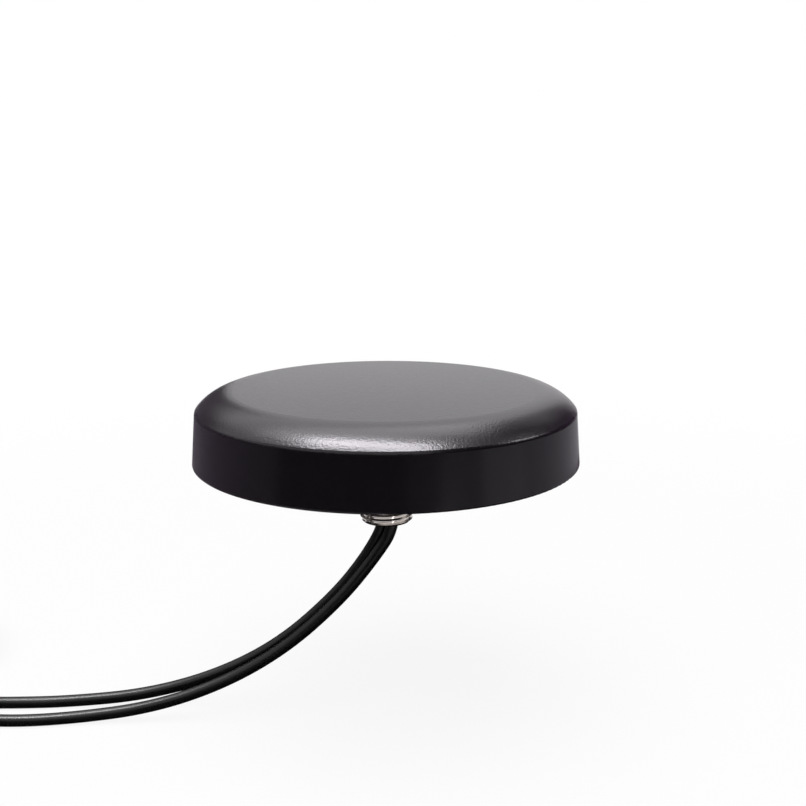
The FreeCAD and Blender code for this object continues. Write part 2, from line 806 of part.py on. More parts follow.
def make_cell_radiator():
    """A slotted sector of tin-plated sheet, folded down at three legs that stand on the board."""
    body = new_body("cell_radiator")
    sheet_z = board_top + size("radiator_height")
    plate = sketch_on(body, "RadiatorProfile", "XY_Plane", sheet_z)
    spread = size("radiator_spread")
    inner, outer = radiator_inner, radiator_outer
    outline(plate, [
        (-(inner * cosine(spread)), inner * sine(spread)),
        (-(inner * cosine(spread)), -(inner * sine(spread))),
        (-(outer * cosine(spread)), -(outer * sine(spread))),
        (-(outer * cosine(spread)), outer * sine(spread)),
    ], rounds={0: (inner, 1), 2: (outer, -1)})
    pad(body, "RadiatorPlate", plate, size("radiator_sheet"))
    slots = sketch_on(body, "RadiatorSlotProfile", "XY_Plane", sheet_z)
    slit = size("radiator_sheet")
    for row in (-1, 1):
        middle = inner * (0.3 * row)
        rectangle(slots, -(outer - slit * 5), -(inner * 1.02), middle - slit, middle + slit)
    pocket(body, "RadiatorSlots", slots, size("radiator_sheet"), up=True)
    legs = sketch_on(body, "RadiatorLegProfile", "XY_Plane", board_top)
    leg = size("radiator_sheet") * 3
    rectangle(legs, -(outer - slit * 3), -(outer - slit * 4), inner * 0.3, inner * 0.3 + leg)
    low = outer * 0.71
    rectangle(legs, -(low + slit), -low, inner * 0.62, inner * 0.62 + leg)
    rectangle(legs, -(low + slit), -low, -(inner * 0.62 + leg), -(inner * 0.62))
    pad(body, "RadiatorLegs", legs, size("radiator_height") + slit * 0.5)


# The amplifier's component places are drawn for a can of this width

CHIP_FIELD = 16.4


def make_patch_module():
    middle = patch_offset
    board = new_body("patch_board")
    face = sketch_on(board, "PatchBoardProfile", "XY_Plane", board_top)
    half = patch_board_width / 2
    rectangle(face, middle - half, middle + half, -half, half)
    circle(face, middle, size("feed_offset"), size("feed_radius") + size("screw_fit"))
    pad(board, "PatchBoardPlate", face, size("patch_board_thickness"))

    ceramic = new_body("patch_ceramic")
    face = sketch_on(ceramic, "CeramicProfile", "XY_Plane", patch_bottom)
    half = patch_width / 2
    cut = size("feed_radius") * 2
    outline(face, [
        (middle - half, -half), (middle + half - cut, -half), (middle + half, cut - half),
        (middle + half, half), (middle - half + cut, half), (middle - half, half - cut),
    ])
    circle(face, middle, size("feed_offset"), size("feed_radius") + size("screw_fit"))
    pad(ceramic, "CeramicTile", face, size("patch_height"))

    pin = new_body("patch_pin")
    profile = sketch_on(pin, "FeedPinProfile", "XZ_Plane")
    head = size("feed_radius") * 2.2
    outline(profile, [
        (0.0, board_top - size("feed_radius")),
        (size("feed_radius"), board_top - size("feed_radius")),
        (size("feed_radius"), patch_top),
        (head, patch_top),
        (head * 0.7, patch_top + size("feed_radius") * 0.7),
        (0.0, patch_top + size("feed_radius") * 0.7),
    ])
    revolve(pin, "FeedPinTurning", profile)
    pin.Placement = Placement(Vector(middle.number, size("feed_offset").number, 0), Rotation())

    can = new_body("shield_can")
    can_low = board_top - size("can_height")
    face = sketch_on(can, "CanProfile", "XY_Plane", can_low)
    half = can_width / 2
    rectangle(face, middle - half, middle + half, -half, half)
    pad(can, "CanBlock", face, size("can_height"))
    hollow = sketch_on(can, "CanHollowProfile", "XY_Plane", board_top)
    inside = half - size("can_sheet")
    rectangle(hollow, middle - inside, middle + inside, -inside, inside)
    pocket(can, "CanHollow", hollow, size("can_height") - size("can_sheet"))

    foam = new_body("module_foam")
    face = sketch_on(foam, "FoamPadProfile", "XY_Plane", base_top)
    inside = half * 0.9
    rectangle(face, middle - inside, middle + inside, -inside, inside)
    pad(foam, "FoamPad", face, can_low - base_top)

    chips = doc.addObject("Part::Feature", "amplifier_parts")
    chips.Label = "amplifier_parts"
    x, top = middle.number, board_top.number
    share = can_width.number / CHIP_FIELD
    blocks = []
    for across, up, wide, deep, tall in (
            (-4.6, -4.4, 3.0, 3.0, 1.1), (0.2, -4.6, 3.8, 3.8, 1.4), (4.8, -4.2, 2.0, 1.2, 0.8),
            (-4.8, 1.0, 2.0, 1.2, 0.8), (-4.8, 4.6, 1.6, 0.8, 0.5), (4.6, 0.6, 3.0, 2.6, 1.0)):
        corner = Vector(x + (across - wide / 2) * share, (up - deep / 2) * share, top - tall)
        blocks.append(Part.makeBox(wide * share, deep * share, tall, corner))
    chips.Shape = Part.makeCompound(blocks)


# Leads inside the housing: up through the grommet, over in one bend, and down onto the board


def lead(label, place, heading):
    """One tight bend over the grommet, then an S down to the board, all of one radius."""
    radius = cable_radius.number
    bend = size("lead_bend").number
    across, along = heading
    low = grommet_seat.number - size("grommet_length").number
    rise = grommet_top.number + size("tie_width").number
    lying = board_top.number + radius
    fall = rise + bend - lying
    turn = math.acos(1.0 - fall / (2.0 * bend))
    step = bend * math.sin(turn)

    def at(reach, height):
        return Vector(place[0] + across * reach, place[1] + along * reach, height)

    quarter = math.pi / 4
    over = turn / 2
    edges = [
        Part.LineSegment(at(0, low), at(0, rise)).toShape(),
        Part.Arc(at(0, rise),
                 at(bend - bend * math.cos(quarter), rise + bend * math.sin(quarter)),
                 at(bend, rise + bend)).toShape(),
        Part.Arc(at(bend, rise + bend),
                 at(bend + bend * math.sin(over), rise + bend * math.cos(over)),
                 at(bend + step, rise + bend * math.cos(turn))).toShape(),
        Part.Arc(at(bend + step, rise + bend * math.cos(turn)),
                 at(bend + 2 * step - bend * math.sin(over), lying + bend - bend * math.cos(over)),
                 at(bend + 2 * step, lying)).toShape(),
        Part.LineSegment(at(bend + 2 * step, lying), at(bend + 2 * step + 3 * radius, lying)).toShape(),
    ]
    path = Part.Wire(edges)
    section = Part.Wire(Part.Circle(at(0, low), Vector(0, 0, 1), radius).toShape())
    piece = doc.addObject("Part::Feature", label)
    piece.Label = label
    piece.Shape = path.makePipeShell([section], True, False)
    expected = math.pi * radius ** 2 * path.Length
    print(label, "length", round(path.Length, 2), "volume share",
          round(piece.Shape.Volume / expected, 5))


# Cables outside: hand-chosen points from the grommet down to the bench, one list for each cable

FLOOR = -size("floor_drop").number
LYING = FLOOR + cable_radius.number
EXIT_LEVEL = grommet_seat.number - size("grommet_length").number

GNSS_ROUTE = [
    (1.65, -1.20, EXIT_LEVEL),
    (1.65, -1.20, -13.90),
    (-3.05, -1.60, -22.80),
    (-10.70, -2.10, -32.40),
    (-23.30, -2.90, -43.90),
    (-38.20, -4.10, -52.40),
    (-55.00, -5.60, -57.70),
    (-73.00, -6.90, LYING),
    (-86.00, -8.50, LYING),
    (-96.00, -8.80, LYING + 0.80),
    (-105.00, -8.80, LYING + 0.80),
]

CELL_ROUTE = [
    (0.15, 1.20, EXIT_LEVEL),
    (0.15, 1.20, -13.90),
    (-4.65, 1.30, -23.10),
    (-12.40, 1.50, -33.10),
    (-25.30, 1.90, -45.00),
    (-40.60, 2.30, -53.30),
    (-57.80, 2.20, -58.20),
    (-76.00, 1.40, LYING),
    (-88.00, 0.70, LYING),
    (-98.00, 0.80, LYING),
    (-107.50, 0.80, LYING + 0.80),
    (-117.00, 0.80, LYING + 0.80),
]

STRAP = size("coil_strap").number
TURN_PITCH = 2 * cable_radius.number
STUB = 13.0
OUTER_TURN = size("coil_middle_radius").number + (size("coil_columns").number - 1) / 2 * TURN_PITCH
LOW_ROW = FLOOR + STRAP + cable_radius.number
HIGH_ROW = LOW_ROW + (size("coil_rows").number - 1) * TURN_PITCH
PLUG_AXIS = FLOOR + size("plug_nut_width").number / 2

GNSS_COIL = (-118.0, -34.0)
CELL_COIL = (-130.0, 26.0)

GNSS_TAIL = [
    (-131.00, -8.80, HIGH_ROW),
    (-141.00, -8.80, HIGH_ROW),
    (-152.80, -13.80, -53.20),
    (-157.00, -27.50, PLUG_AXIS),
    (-157.00, -42.20, PLUG_AXIS),
]

CELL_TAIL = [
    (-143.00, 0.80, HIGH_ROW),
    (-153.00, 0.80, HIGH_ROW),
    (-164.80, -4.20, -53.20),
    (-169.00, -17.90, PLUG_AXIS),
    (-169.00, -32.60, PLUG_AXIS),
]


def coil(label, centre, side):
    """One closed solid of the wound cable's outer shape, with the turns that come and go."""
    body = new_body(label)
    pitch = cable_radius * 2
    inner = size("coil_middle_radius") - pitch * size("coil_columns") / 2
    outer = size("coil_middle_radius") + pitch * size("coil_columns") / 2
    low = as_size(STRAP)
    high = low + pitch * size("coil_rows")
    soft = cable_radius
    profile = sketch_on(body, label + "_profile", "XZ_Plane")
    outline(profile, [
        (inner + soft, low), (outer - soft, low), (outer, low + soft), (outer, high - soft),
        (outer - soft, high), (inner + soft, high), (inner, high - soft), (inner, low + soft),
    ], rounds={1: (soft, 1), 3: (soft, 1), 5: (soft, 1), 7: (soft, 1)})
    revolve(body, label + "_ring", profile)
    arriving = sketch_on(body, label + "_arriving_profile", "YZ_Plane")
    circle(arriving, (outer - soft) * side, low + soft, cable_radius)
    pad(body, label + "_arriving", arriving, STUB)
    leaving = sketch_on(body, label + "_leaving_profile", "YZ_Plane")
    circle(leaving, (outer - soft) * side, high - soft, cable_radius)
    pad(body, label + "_leaving", leaving, STUB, down=True)
    body.Placement = Placement(Vector(centre[0], centre[1], FLOOR), Rotation())


def coil_straps(label, centre, turns):
    """Two flat straps round the wound cable, on opposite sides; the coil stands on them."""
    body = new_body(label + "_source")
    pitch = cable_radius * 2
    half = size("coil_strap_width") / 2
    ring_inner = size("coil_middle_radius") - pitch * size("coil_columns") / 2
    inner = root(ring_inner * ring_inner - half * half)
    outer = size("coil_middle_radius") + pitch * size("coil_columns") / 2
    low = as_size(STRAP)
    high = low + pitch * size("coil_rows")
    profile = sketch_on(body, label + "_profile", "XZ_Plane")
    for extra in (size("coil_strap"), as_size(0.0)):
        soft = cable_radius
        outline(profile, [
            (inner + soft, low - extra), (outer - soft, low - extra),
            (outer + extra, low + soft), (outer + extra, high - soft),
            (outer - soft, high + extra), (inner + soft, high + extra),
            (inner - extra, high - soft), (inner - extra, low + soft),
        ], rounds={1: (soft + extra, 1), 3: (soft + extra, 1),
                   5: (soft + extra, 1), 7: (soft + extra, 1)})
    band = pad(body, label + "_band", profile, half * 2)
    band.Midplane = True
    middle = Placement(Vector(centre[0], centre[1], FLOOR), Rotation())
    group(label, body, [middle.multiply(turned(angle)) for angle in turns])


# Screw-on coaxial plug, drawn along its own axis: the cable enters at 0, the mating end is up


HALF_SIDE_ANGLE = 30.0
RING_ANGLE = 325.0


def plug(prefix, cable_end):
    mouth = (cable_end[0], cable_end[1] + size("ferrule_length").number, cable_end[2])
    sleeve_end = size("sleeve_length")
    seat = size("ferrule_length")
    ferrule_start = seat - cable_radius
    ferrule_end = ferrule_start + size("ferrule_length")
    collar_end = ferrule_end + size("plug_collar_radius") * 0.8
    journal_end = collar_end + size("plug_nut_length") * 0.4
    barrel_end = journal_end + size("plug_nut_length") * 0.45
    nut_start = collar_end + size("plug_fit") * 3
    nut_end = nut_start + size("plug_nut_length")
    ring_low = collar_end + size("plug_nut_length") * 0.16
    ring_high = ring_low + size("plug_nut_length") * 0.09
    journal = size("plug_journal_radius")
    fit = size("plug_fit")
    bore = size("plug_insulator_radius")
    bore_floor = collar_end
    core = size("plug_contact_radius")

    def turned_piece(word, corners):
        body = new_body(f"{prefix}_plug_{word}")
        profile = sketch_on(body, f"{prefix}_{word}_profile", "XZ_Plane")
        outline(profile, corners)
        revolve(body, f"{prefix}_{word}_turning", profile)
        body.Placement = lay
        return body

    lay = Placement(Vector(*mouth), Rotation(Vector(1, 0, 0), 90))

    turned_piece("body", [
        (core, seat), (cable_radius, seat), (cable_radius, ferrule_end),
        (size("plug_collar_radius"), ferrule_end), (size("plug_collar_radius"), collar_end),
        (journal, collar_end), (journal, ring_low - fit), (journal - fit * 8, ring_low - fit),
        (journal - fit * 8, ring_high + fit), (journal, ring_high + fit), (journal, journal_end),
        (size("plug_barrel_radius"), journal_end), (size("plug_barrel_radius"), barrel_end),
        (bore, barrel_end), (bore, bore_floor), (core, bore_floor),
    ])
    turned_piece("insulator", [
        (core, bore_floor), (bore, bore_floor), (bore, barrel_end), (core, barrel_end)])
    turned_piece("contact", [
        (0.0, seat), (core, seat), (core, nut_end - core * 2), (core * 0.4, nut_end - core),
        (0.0, nut_end - core)])
    turned_piece("gasket", [
        (size("plug_barrel_radius"), journal_end), (journal, journal_end),
        (journal, journal_end + fit * 14), (size("plug_barrel_radius"), journal_end + fit * 14)])
    turned_piece("ferrule", [
        (cable_radius, ferrule_start), (size("ferrule_radius"), ferrule_start),
        (size("ferrule_radius"), ferrule_end), (cable_radius, ferrule_end)])
    turned_piece("sleeve", [
        (cable_radius, 0.0), (cable_radius + fit * 8, 0.0),
        (cable_radius + fit * 8, ferrule_start * 0.6), (size("sleeve_radius"), ferrule_start),
        (size("sleeve_radius"), sleeve_end), (size("ferrule_radius"), sleeve_end),
        (size("ferrule_radius"), ferrule_start), (cable_radius, ferrule_start)])

    spring = new_body(f"{prefix}_plug_ring")
    ring_inner, ring_outer = journal - fit * 7, journal + fit * 6
    profile = sketch_on(spring, f"{prefix}_ring_section", "XZ_Plane")
    rectangle(profile, ring_inner, ring_outer, ring_low, ring_high)
    revolve(spring, f"{prefix}_ring_bend", profile, angle=as_size(RING_ANGLE))
    spring.Placement = lay

    nut = new_body(f"{prefix}_plug_nut")
    hexagon = sketch_on(nut, f"{prefix}_nut_profile", "XY_Plane", nut_start)
    half = size("plug_nut_width") / 2
    long_half = half / cosine(as_size(HALF_SIDE_ANGLE))
    outline(hexagon, [
        (long_half, 0.0), (long_half / 2, half), (-(long_half / 2), half),
        (-long_half, 0.0), (-(long_half / 2), -half), (long_half / 2, -half)])
    pad(nut, f"{prefix}_nut_block", hexagon, size("plug_nut_length"))
    hole = sketch_on(nut, f"{prefix}_nut_bore_profile", "XZ_Plane")
    outline(hole, [
        (0.0, nut_start - fit), (journal + fit, nut_start - fit), (journal + fit, ring_low - fit),
        (journal + fit * 8, ring_low - fit), (journal + fit * 8, ring_high + fit),
        (journal + fit, ring_high + fit), (journal + fit, journal_end - fit * 4),
        (size("plug_thread_radius"), journal_end - fit * 4),
        (size("plug_thread_radius"), nut_end + fit), (0.0, nut_end + fit)])
    groove(nut, f"{prefix}_nut_bore", hole)
    crown = sketch_on(nut, f"{prefix}_nut_crown_profile", "XZ_Plane")
    drop = (long_half - half) * 0.6
    outline(crown, [
        (half, nut_end), (long_half + fit, nut_end - drop - fit), (long_half + fit, nut_end)])
    groove(nut, f"{prefix}_nut_crown", crown)
    nut.Placement = lay


def check_and_export():
    """Stop on any failed object, then write each piece to its own file."""
    doc.recompute()
    for thing in doc.Objects:
        if "Invalid" in thing.State or "Error" in thing.State:
            raise RuntimeError(f"{thing.Label}: {thing.State}")
    os.makedirs("parts", exist_ok=True)
    for label in PIECES:
        found = doc.getObjectsByLabel(label)
        if len(found) != 1:
            raise RuntimeError(f"{label}: {len(found)} objects")
        shape = found[0].Shape
        if shape.isNull() or not shape.isValid() or not shape.Solids:
            raise RuntimeError(f"{label}: bad shape")
        shape.exportStep(f"parts/{label}.step")
        print(label, len(shape.Solids), "solids, volume", round(shape.Volume, 2))


PLUG_WORDS = ["body", "nut", "ring", "insulator", "contact", "gasket", "ferrule", "sleeve"]
PIECES = [
    "radome", "base_plate", "housing_seal", "mounting_gasket", "housing_screws",
    "threaded_stud", "stud_seal", "stud_screws", "cable_grommet", "lead_tie",
    "carrier_board", "board_screws", "cell_radiator", "patch_board", "patch_ceramic",
    "patch_pin", "shield_can", "module_foam", "amplifier_parts", "gnss_lead", "cell_lead",
    "gnss_cable", "gnss_coil", "gnss_tail", "gnss_straps",
    "cell_cable", "cell_coil", "cell_tail", "cell_straps",
] + [f"{prefix}_plug_{word}" for prefix in ("gnss", "cell") for word in PLUG_WORDS]

make_radome()
make_base_plate()
make_housing_seal()
make_mounting_gasket()
make_threaded_stud()
make_stud_seal()
make_housing_screws()
make_stud_screws()
make_cable_grommet()
make_lead_tie()
make_carrier_board()
make_board_screws()
make_cell_radiator()
make_patch_module()
lead("gnss_lead", GNSS_PLACE, (0.0, -1.0))
lead("cell_lead", CELL_PLACE, (-1.0, 0.0))
tube("gnss_cable", GNSS_ROUTE, cable_radius.number)
tube("cell_cable", CELL_ROUTE, cable_radius.number)
coil("gnss_coil", GNSS_COIL, 1)
coil("cell_coil", CELL_COIL, -1)
coil_straps("gnss_straps", GNSS_COIL, (0, 180))
coil_straps("cell_straps", CELL_COIL, (0, 180))
tube("gnss_tail", GNSS_TAIL, cable_radius.number)
tube("cell_tail", CELL_TAIL, cable_radius.number)
plug("gnss", GNSS_TAIL[-1])
plug("cell", CELL_TAIL[-1])
check_and_export()
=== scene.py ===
# %% [markdown]
# Combination vehicle antenna: a low round housing for a vehicle's roof, with a hollow threaded stud
# below it and two thin coaxial cables that come out of the stud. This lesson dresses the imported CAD
# model in Blender: camera, cables, light, then the pieces and their finishes one by one.

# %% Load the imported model
import math
import random

import bmesh
import bpy
from mathutils import Matrix, Vector


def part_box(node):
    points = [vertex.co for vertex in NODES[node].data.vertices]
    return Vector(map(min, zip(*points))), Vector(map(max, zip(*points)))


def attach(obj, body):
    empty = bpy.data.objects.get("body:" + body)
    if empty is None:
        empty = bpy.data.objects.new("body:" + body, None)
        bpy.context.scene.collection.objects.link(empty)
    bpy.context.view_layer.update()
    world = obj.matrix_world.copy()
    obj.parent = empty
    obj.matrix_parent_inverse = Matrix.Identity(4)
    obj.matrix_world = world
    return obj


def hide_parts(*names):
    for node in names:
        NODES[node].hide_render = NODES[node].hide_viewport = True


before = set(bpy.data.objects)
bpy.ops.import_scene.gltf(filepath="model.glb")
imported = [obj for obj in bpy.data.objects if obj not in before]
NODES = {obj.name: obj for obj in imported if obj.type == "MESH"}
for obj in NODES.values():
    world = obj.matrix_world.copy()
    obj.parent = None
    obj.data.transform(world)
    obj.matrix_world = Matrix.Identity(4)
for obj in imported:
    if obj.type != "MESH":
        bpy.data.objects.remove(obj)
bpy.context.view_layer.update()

# %% [markdown]
# The camera stands in front of the antenna and a little above it, close enough for the round top
# to look like a wide ellipse. Its distance, tilt and lens were fitted to the outline: the rim, the
# crease between wall and shoulder, the top edge and the stud all land where they should.
# A square picture uses the sensor's full width, so the lens alone sets the field of view.

# %% Camera
CAMERA_AT = (0.00378, -0.24952, 0.06662)
CAMERA_TILT_DOWN = 12.016
CAMERA_LENS = 50.85

camera_data = bpy.data.cameras.new("camera")
camera_data.lens = CAMERA_LENS
camera_data.sensor_width = 36.0
camera_data.clip_start = 0.01
camera_data.clip_end = 20.0
camera = bpy.data.objects.new("camera", camera_data)
camera.location = CAMERA_AT
camera.rotation_euler = (math.radians(90.0 - CAMERA_TILT_DOWN), 0.0, 0.0)
bpy.context.collection.objects.link(camera)
bpy.context.scene.camera = camera
print("camera lens", CAMERA_LENS, "mm")

# %% [markdown]
# The object stands in a plain studio, white all round. The bench and the world are white for the
# camera, and for reflections and refractions too, so that metal mirrors what the picture shows.
# Near the object the bench also shows part of the true light it receives, which is where the
# faint shadow comes from.

# %% Small helpers for node trees
def node(tree, kind, **values):
    """Add one node and set its attributes by name, and its inputs by the names in `inputs`."""
    made = tree.nodes.new(kind)
    for key, value in values.pop("inputs", {}).items():
        made.inputs[key].default_value = value
    for key, value in values.items():
        setattr(made, key, value)
    return made


def seen_ray(tree):
    """1 for camera, glossy and transmission rays, and 0 for the rays that only bring light."""
    path = node(tree, "ShaderNodeLightPath")
    glossy = node(tree, "ShaderNodeMath", operation="MAXIMUM")
    seen = node(tree, "ShaderNodeMath", operation="MAXIMUM")
    tree.links.new(path.outputs["Is Glossy Ray"], glossy.inputs[0])
    tree.links.new(path.outputs["Is Transmission Ray"], glossy.inputs[1])
    tree.links.new(path.outputs["Is Camera Ray"], seen.inputs[0])
    tree.links.new(glossy.outputs[0], seen.inputs[1])
    return seen.outputs[0]


# %% [markdown]
# The world is a plain white room. Rays that are seen, or mirrored, or bent find full white; rays
# that only bring light find a small part of it, so that the lamps alone model the form. The view
# transform is the standard one, which shows every colour as it was computed.

# %% World and view settings
WORLD_LIGHT = 0.15

bpy.context.scene.view_settings.view_transform = "Standard"
world = bpy.data.worlds.new("studio")
bpy.context.scene.world = world
world.use_nodes = True
tree = world.node_tree
tree.nodes.clear()
strength = node(tree, "ShaderNodeMapRange", inputs={"To Min": WORLD_LIGHT, "To Max": 1.0})
background = node(tree, "ShaderNodeBackground", inputs={"Color": (1.0, 1.0, 1.0, 1.0)})
output = node(tree, "ShaderNodeOutputWorld")
tree.links.new(seen_ray(tree), strength.inputs["Value"])
tree.links.new(strength.outputs["Result"], background.inputs["Strength"])
tree.links.new(background.outputs[0], output.inputs["Surface"])
print("world light", WORLD_LIGHT)

# %% [markdown]
# The bench is one large square below the antenna. It is plain white where a ray sees it, apart from
# a share of matt paint that is largest under the antenna and fades out away from it. Only this
# share takes the shadow, so the shadow is faint and has no edge of its own.

# %% Bench
BENCH_LEVEL = -0.061
BENCH_HALF = 3.0
SHADOW_SHARE = 0.10
SHADOW_NEAR = 0.12
SHADOW_FAR = 0.42

mesh = bpy.data.meshes.new("bench")
shape = bmesh.new()
bmesh.ops.create_grid(shape, x_segments=1, y_segments=1, size=BENCH_HALF,
                      matrix=Matrix.Translation((0.0, 0.0, BENCH_LEVEL)))
shape.to_mesh(mesh)
shape.free()
bench = bpy.data.objects.new("bench", mesh)
bpy.context.collection.objects.link(bench)
bench_paint = bpy.data.materials.new("bench_paint")
bench_paint.use_nodes = True
tree = bench_paint.node_tree
tree.nodes.clear()
place = node(tree, "ShaderNodeTexCoord")
reach = node(tree, "ShaderNodeVectorMath", operation="LENGTH")
fade = node(tree, "ShaderNodeMapRange", interpolation_type="SMOOTHSTEP",
            inputs={"From Min": SHADOW_NEAR, "From Max": SHADOW_FAR,
                    "To Min": 1.0 - SHADOW_SHARE, "To Max": 1.0})
share = node(tree, "ShaderNodeMath", operation="MULTIPLY")
matt = node(tree, "ShaderNodeBsdfDiffuse", inputs={"Color": (1.0, 1.0, 1.0, 1.0)})
white = node(tree, "ShaderNodeEmission", inputs={"Color": (1.0, 1.0, 1.0, 1.0)})
mix = node(tree, "ShaderNodeMixShader")
output = node(tree, "ShaderNodeOutputMaterial")
tree.links.new(place.outputs["Object"], reach.inputs[0])
tree.links.new(reach.outputs["Value"], fade.inputs["Value"])
tree.links.new(fade.outputs["Result"], share.inputs[0])
tree.links.new(seen_ray(tree), share.inputs[1])
tree.links.new(share.outputs[0], mix.inputs[0])
tree.links.new(matt.outputs[0], mix.inputs[1])
tree.links.new(white.outputs[0], mix.inputs[2])
tree.links.new(mix.outputs[0], output.inputs["Surface"])
mesh.materials.append(bench_paint)
print("bench at", BENCH_LEVEL)

# %% [markdown]
# Black plastic shows little but its reflections. The photographer kept everything round the object
# dark, apart from the wall behind it, so that the housing's wall stays black while the top mirrors
# the white. A dark cloth does that here: it lies on the bench in a wide ring that is open at the
# back and hangs up at its outer edge, higher at the right. In front it is black, at the left
# charcoal, and at the right it goes over in steps from slate to light grey, so that the housing's
# wall grows lighter towards both ends. Only reflections see it, so it is in no picture. Right below
# the antenna lies painted shade: a round black disc that stands in for the antenna's shadow on the
# bench, and only reflections see it. The grooves of the thread and the cables mirror this painted
# shade, and the stud's crests mirror the white ring between it and the cloth.

# %% Dark cloth round the object, and painted shade below it
CLOTH_INNER, CLOTH_OUTER = 0.19, 1.10
BELOW_RADIUS = 0.105
GREY_INNER = 0.27
CLOTH_HEIGHT = 0.30
LEFT_HEIGHT = 0.60
SIDE_HEIGHT = 1.50
CLOTH_STEPS = 24
GROUND = -0.0605


def dark_cloth(name, dye, profile, start, stop):
    """Spin a profile of (radius, height) about the stud's axis; 0 degrees faces the camera."""
    mesh = bpy.data.meshes.new(name)
    shape = bmesh.new()
    first = Matrix.Rotation(math.radians(start), 3, "Z")
    points = [shape.verts.new(first @ Vector((0.0, -radius, height))) for radius, height in profile]
    edges = [shape.edges.new(pair) for pair in zip(points, points[1:])]
    bmesh.ops.spin(shape, geom=points + edges, axis=(0, 0, 1), cent=(0, 0, 0),
                   steps=CLOTH_STEPS, angle=math.radians(stop - start),
                   use_merge=stop - start == 360)
    shape.to_mesh(mesh)
    shape.free()
    cloth = bpy.data.objects.new(name, mesh)
    bpy.context.collection.objects.link(cloth)
    cloth.visible_camera = False
    cloth.visible_diffuse = False
    cloth.visible_transmission = False
    cloth.visible_shadow = False
    mesh.materials.append(dye)
    print(name, "spans", stop - start, "degrees")


def dyed(name, color):
    """A plain cloth of one colour."""
    cloth_dye = bpy.data.materials.new(name)
    cloth_dye.use_nodes = True
    tree = cloth_dye.node_tree
    tree.nodes.clear()
    dye = node(tree, "ShaderNodeBsdfDiffuse", inputs={"Color": (*color, 1.0)})
    output = node(tree, "ShaderNodeOutputMaterial")
    tree.links.new(dye.outputs[0], output.inputs["Surface"])
    return cloth_dye


black = dyed("black_cloth", (0.022, 0.022, 0.022))
charcoal = dyed("charcoal_cloth", (0.16, 0.16, 0.17))
slate = dyed("slate_cloth", (0.11, 0.11, 0.115))
low_wall = [(CLOTH_OUTER, GROUND), (CLOTH_OUTER, CLOTH_HEIGHT)]
# Painted shade: a black disc under the antenna that stands in for its shadow on the bench, seen only
# in reflections.
dark_cloth("painted_shade_below", black, [(0.001, GROUND), (BELOW_RADIUS, GROUND)], -180, 180)
dark_cloth("cloth_in_front", black, [(CLOTH_INNER, GROUND), *low_wall], -60, 12)
dark_cloth("slate_in_front", slate, [(CLOTH_INNER, GROUND), *low_wall], 12, 30)
dark_cloth("cloth_at_left", charcoal, [(CLOTH_INNER, GROUND), *low_wall], -158, -60)
dark_cloth("cloth_at_right", black, [(CLOTH_INNER, GROUND), (GREY_INNER, GROUND)], 30, 155)
for name, level, start, stop in [("near_grey", 0.34, 30, 54), ("light_grey", 0.68, 54, 82),
                                 ("far_grey", 0.50, 82, 155)]:
    grey = dyed(name, (level, 1.015 * level, 1.03 * level))
    dark_cloth(f"{name}_cloth", grey, [(GREY_INNER, GROUND), (CLOTH_OUTER, GROUND)], start, stop)
dark_cloth("right_hanging", black, [(CLOTH_OUTER, GROUND), (CLOTH_OUTER, SIDE_HEIGHT)], 30, 155)
dark_cloth("left_hanging", black, [(CLOTH_OUTER, GROUND), (CLOTH_OUTER, LEFT_HEIGHT)], -166,
           -125)

# %% [markdown]
# One wide lamp in front and above lights the colours at a plain level of about one, together with
# the world. The glossy plastic shows what it mirrors, and these are lamps of their own, which only
# reflections see: a soft box a little in front for the bright band on the front shoulder, two wide
# dim panels behind it that keep the rest of the shoulder as light as the top, a weak one at the
# right, and a tiny one low in front for the bright upright streak on the stud.

# %% Lamps
LIT_POINT = Vector((0.0, 0.0, -0.01))
LAMPS = [
    ("plain_light", (-0.15, -0.35, 1.15), (1.2, 1.2), 16.0, "colours"),
    ("softbox", (-0.060, -0.156, 0.72), (0.66, 0.21), 14.0, "reflections"),
    ("top_panel", (-0.12, 0.26, 0.86), (1.15, 0.58), 6.4, "reflections"),
    ("back_panel", (0.0, 0.67, 0.60), (1.5, 0.36), 1.0, "reflections"),
    ("right_lamp", (0.70, 0.02, 0.42), (0.24, 0.24), 1.6, "reflections"),
    ("glint", (0.078, -0.135, -0.058), (0.018, 0.05), 0.014, "reflections"),
]
for name, place, extent, power, lights in LAMPS:
    lamp = bpy.data.lights.new(name, "AREA")
    lamp.shape = "RECTANGLE"
    lamp.size, lamp.size_y = extent
    lamp.energy = power
    holder = bpy.data.objects.new(name, lamp)
    holder.location = place
    holder.rotation_euler = (Vector(place) - LIT_POINT).to_track_quat("Z", "Y").to_euler()
    holder.visible_camera = False
    holder.visible_diffuse = lights == "colours"
    holder.visible_glossy = lights == "reflections"
    bpy.context.collection.objects.link(holder)
    print(name, power, "W for", lights)

# %% [markdown]
# Each cable is one smooth curve. It leaves the rubber grommet in the stud, falls and bends to the
# side, runs along the bench, is wound into a neat coil for storage, and ends in its plug.
# A NURBS spline of order 3 is drawn by a few listed points and never shows a kink.
# The same points shape the CAD model's tubes, so both follow one line. Values are millimetres.

# %% Points of the two cables
MM = 0.001
BENCH = -61.0
CABLE_RADIUS = 1.4
STRAP = 0.8
LYING = BENCH + CABLE_RADIUS
LOW_ROW = LYING + STRAP
EXIT_LEVEL = -6.2
PLUG_AXIS = -57.0

COIL_COLUMNS = 6
COIL_ROWS = 4
TURN_PITCH = 2 * CABLE_RADIUS
COIL_MIDDLE = 18.2
HIGH_ROW = LOW_ROW + (COIL_ROWS - 1) * TURN_PITCH

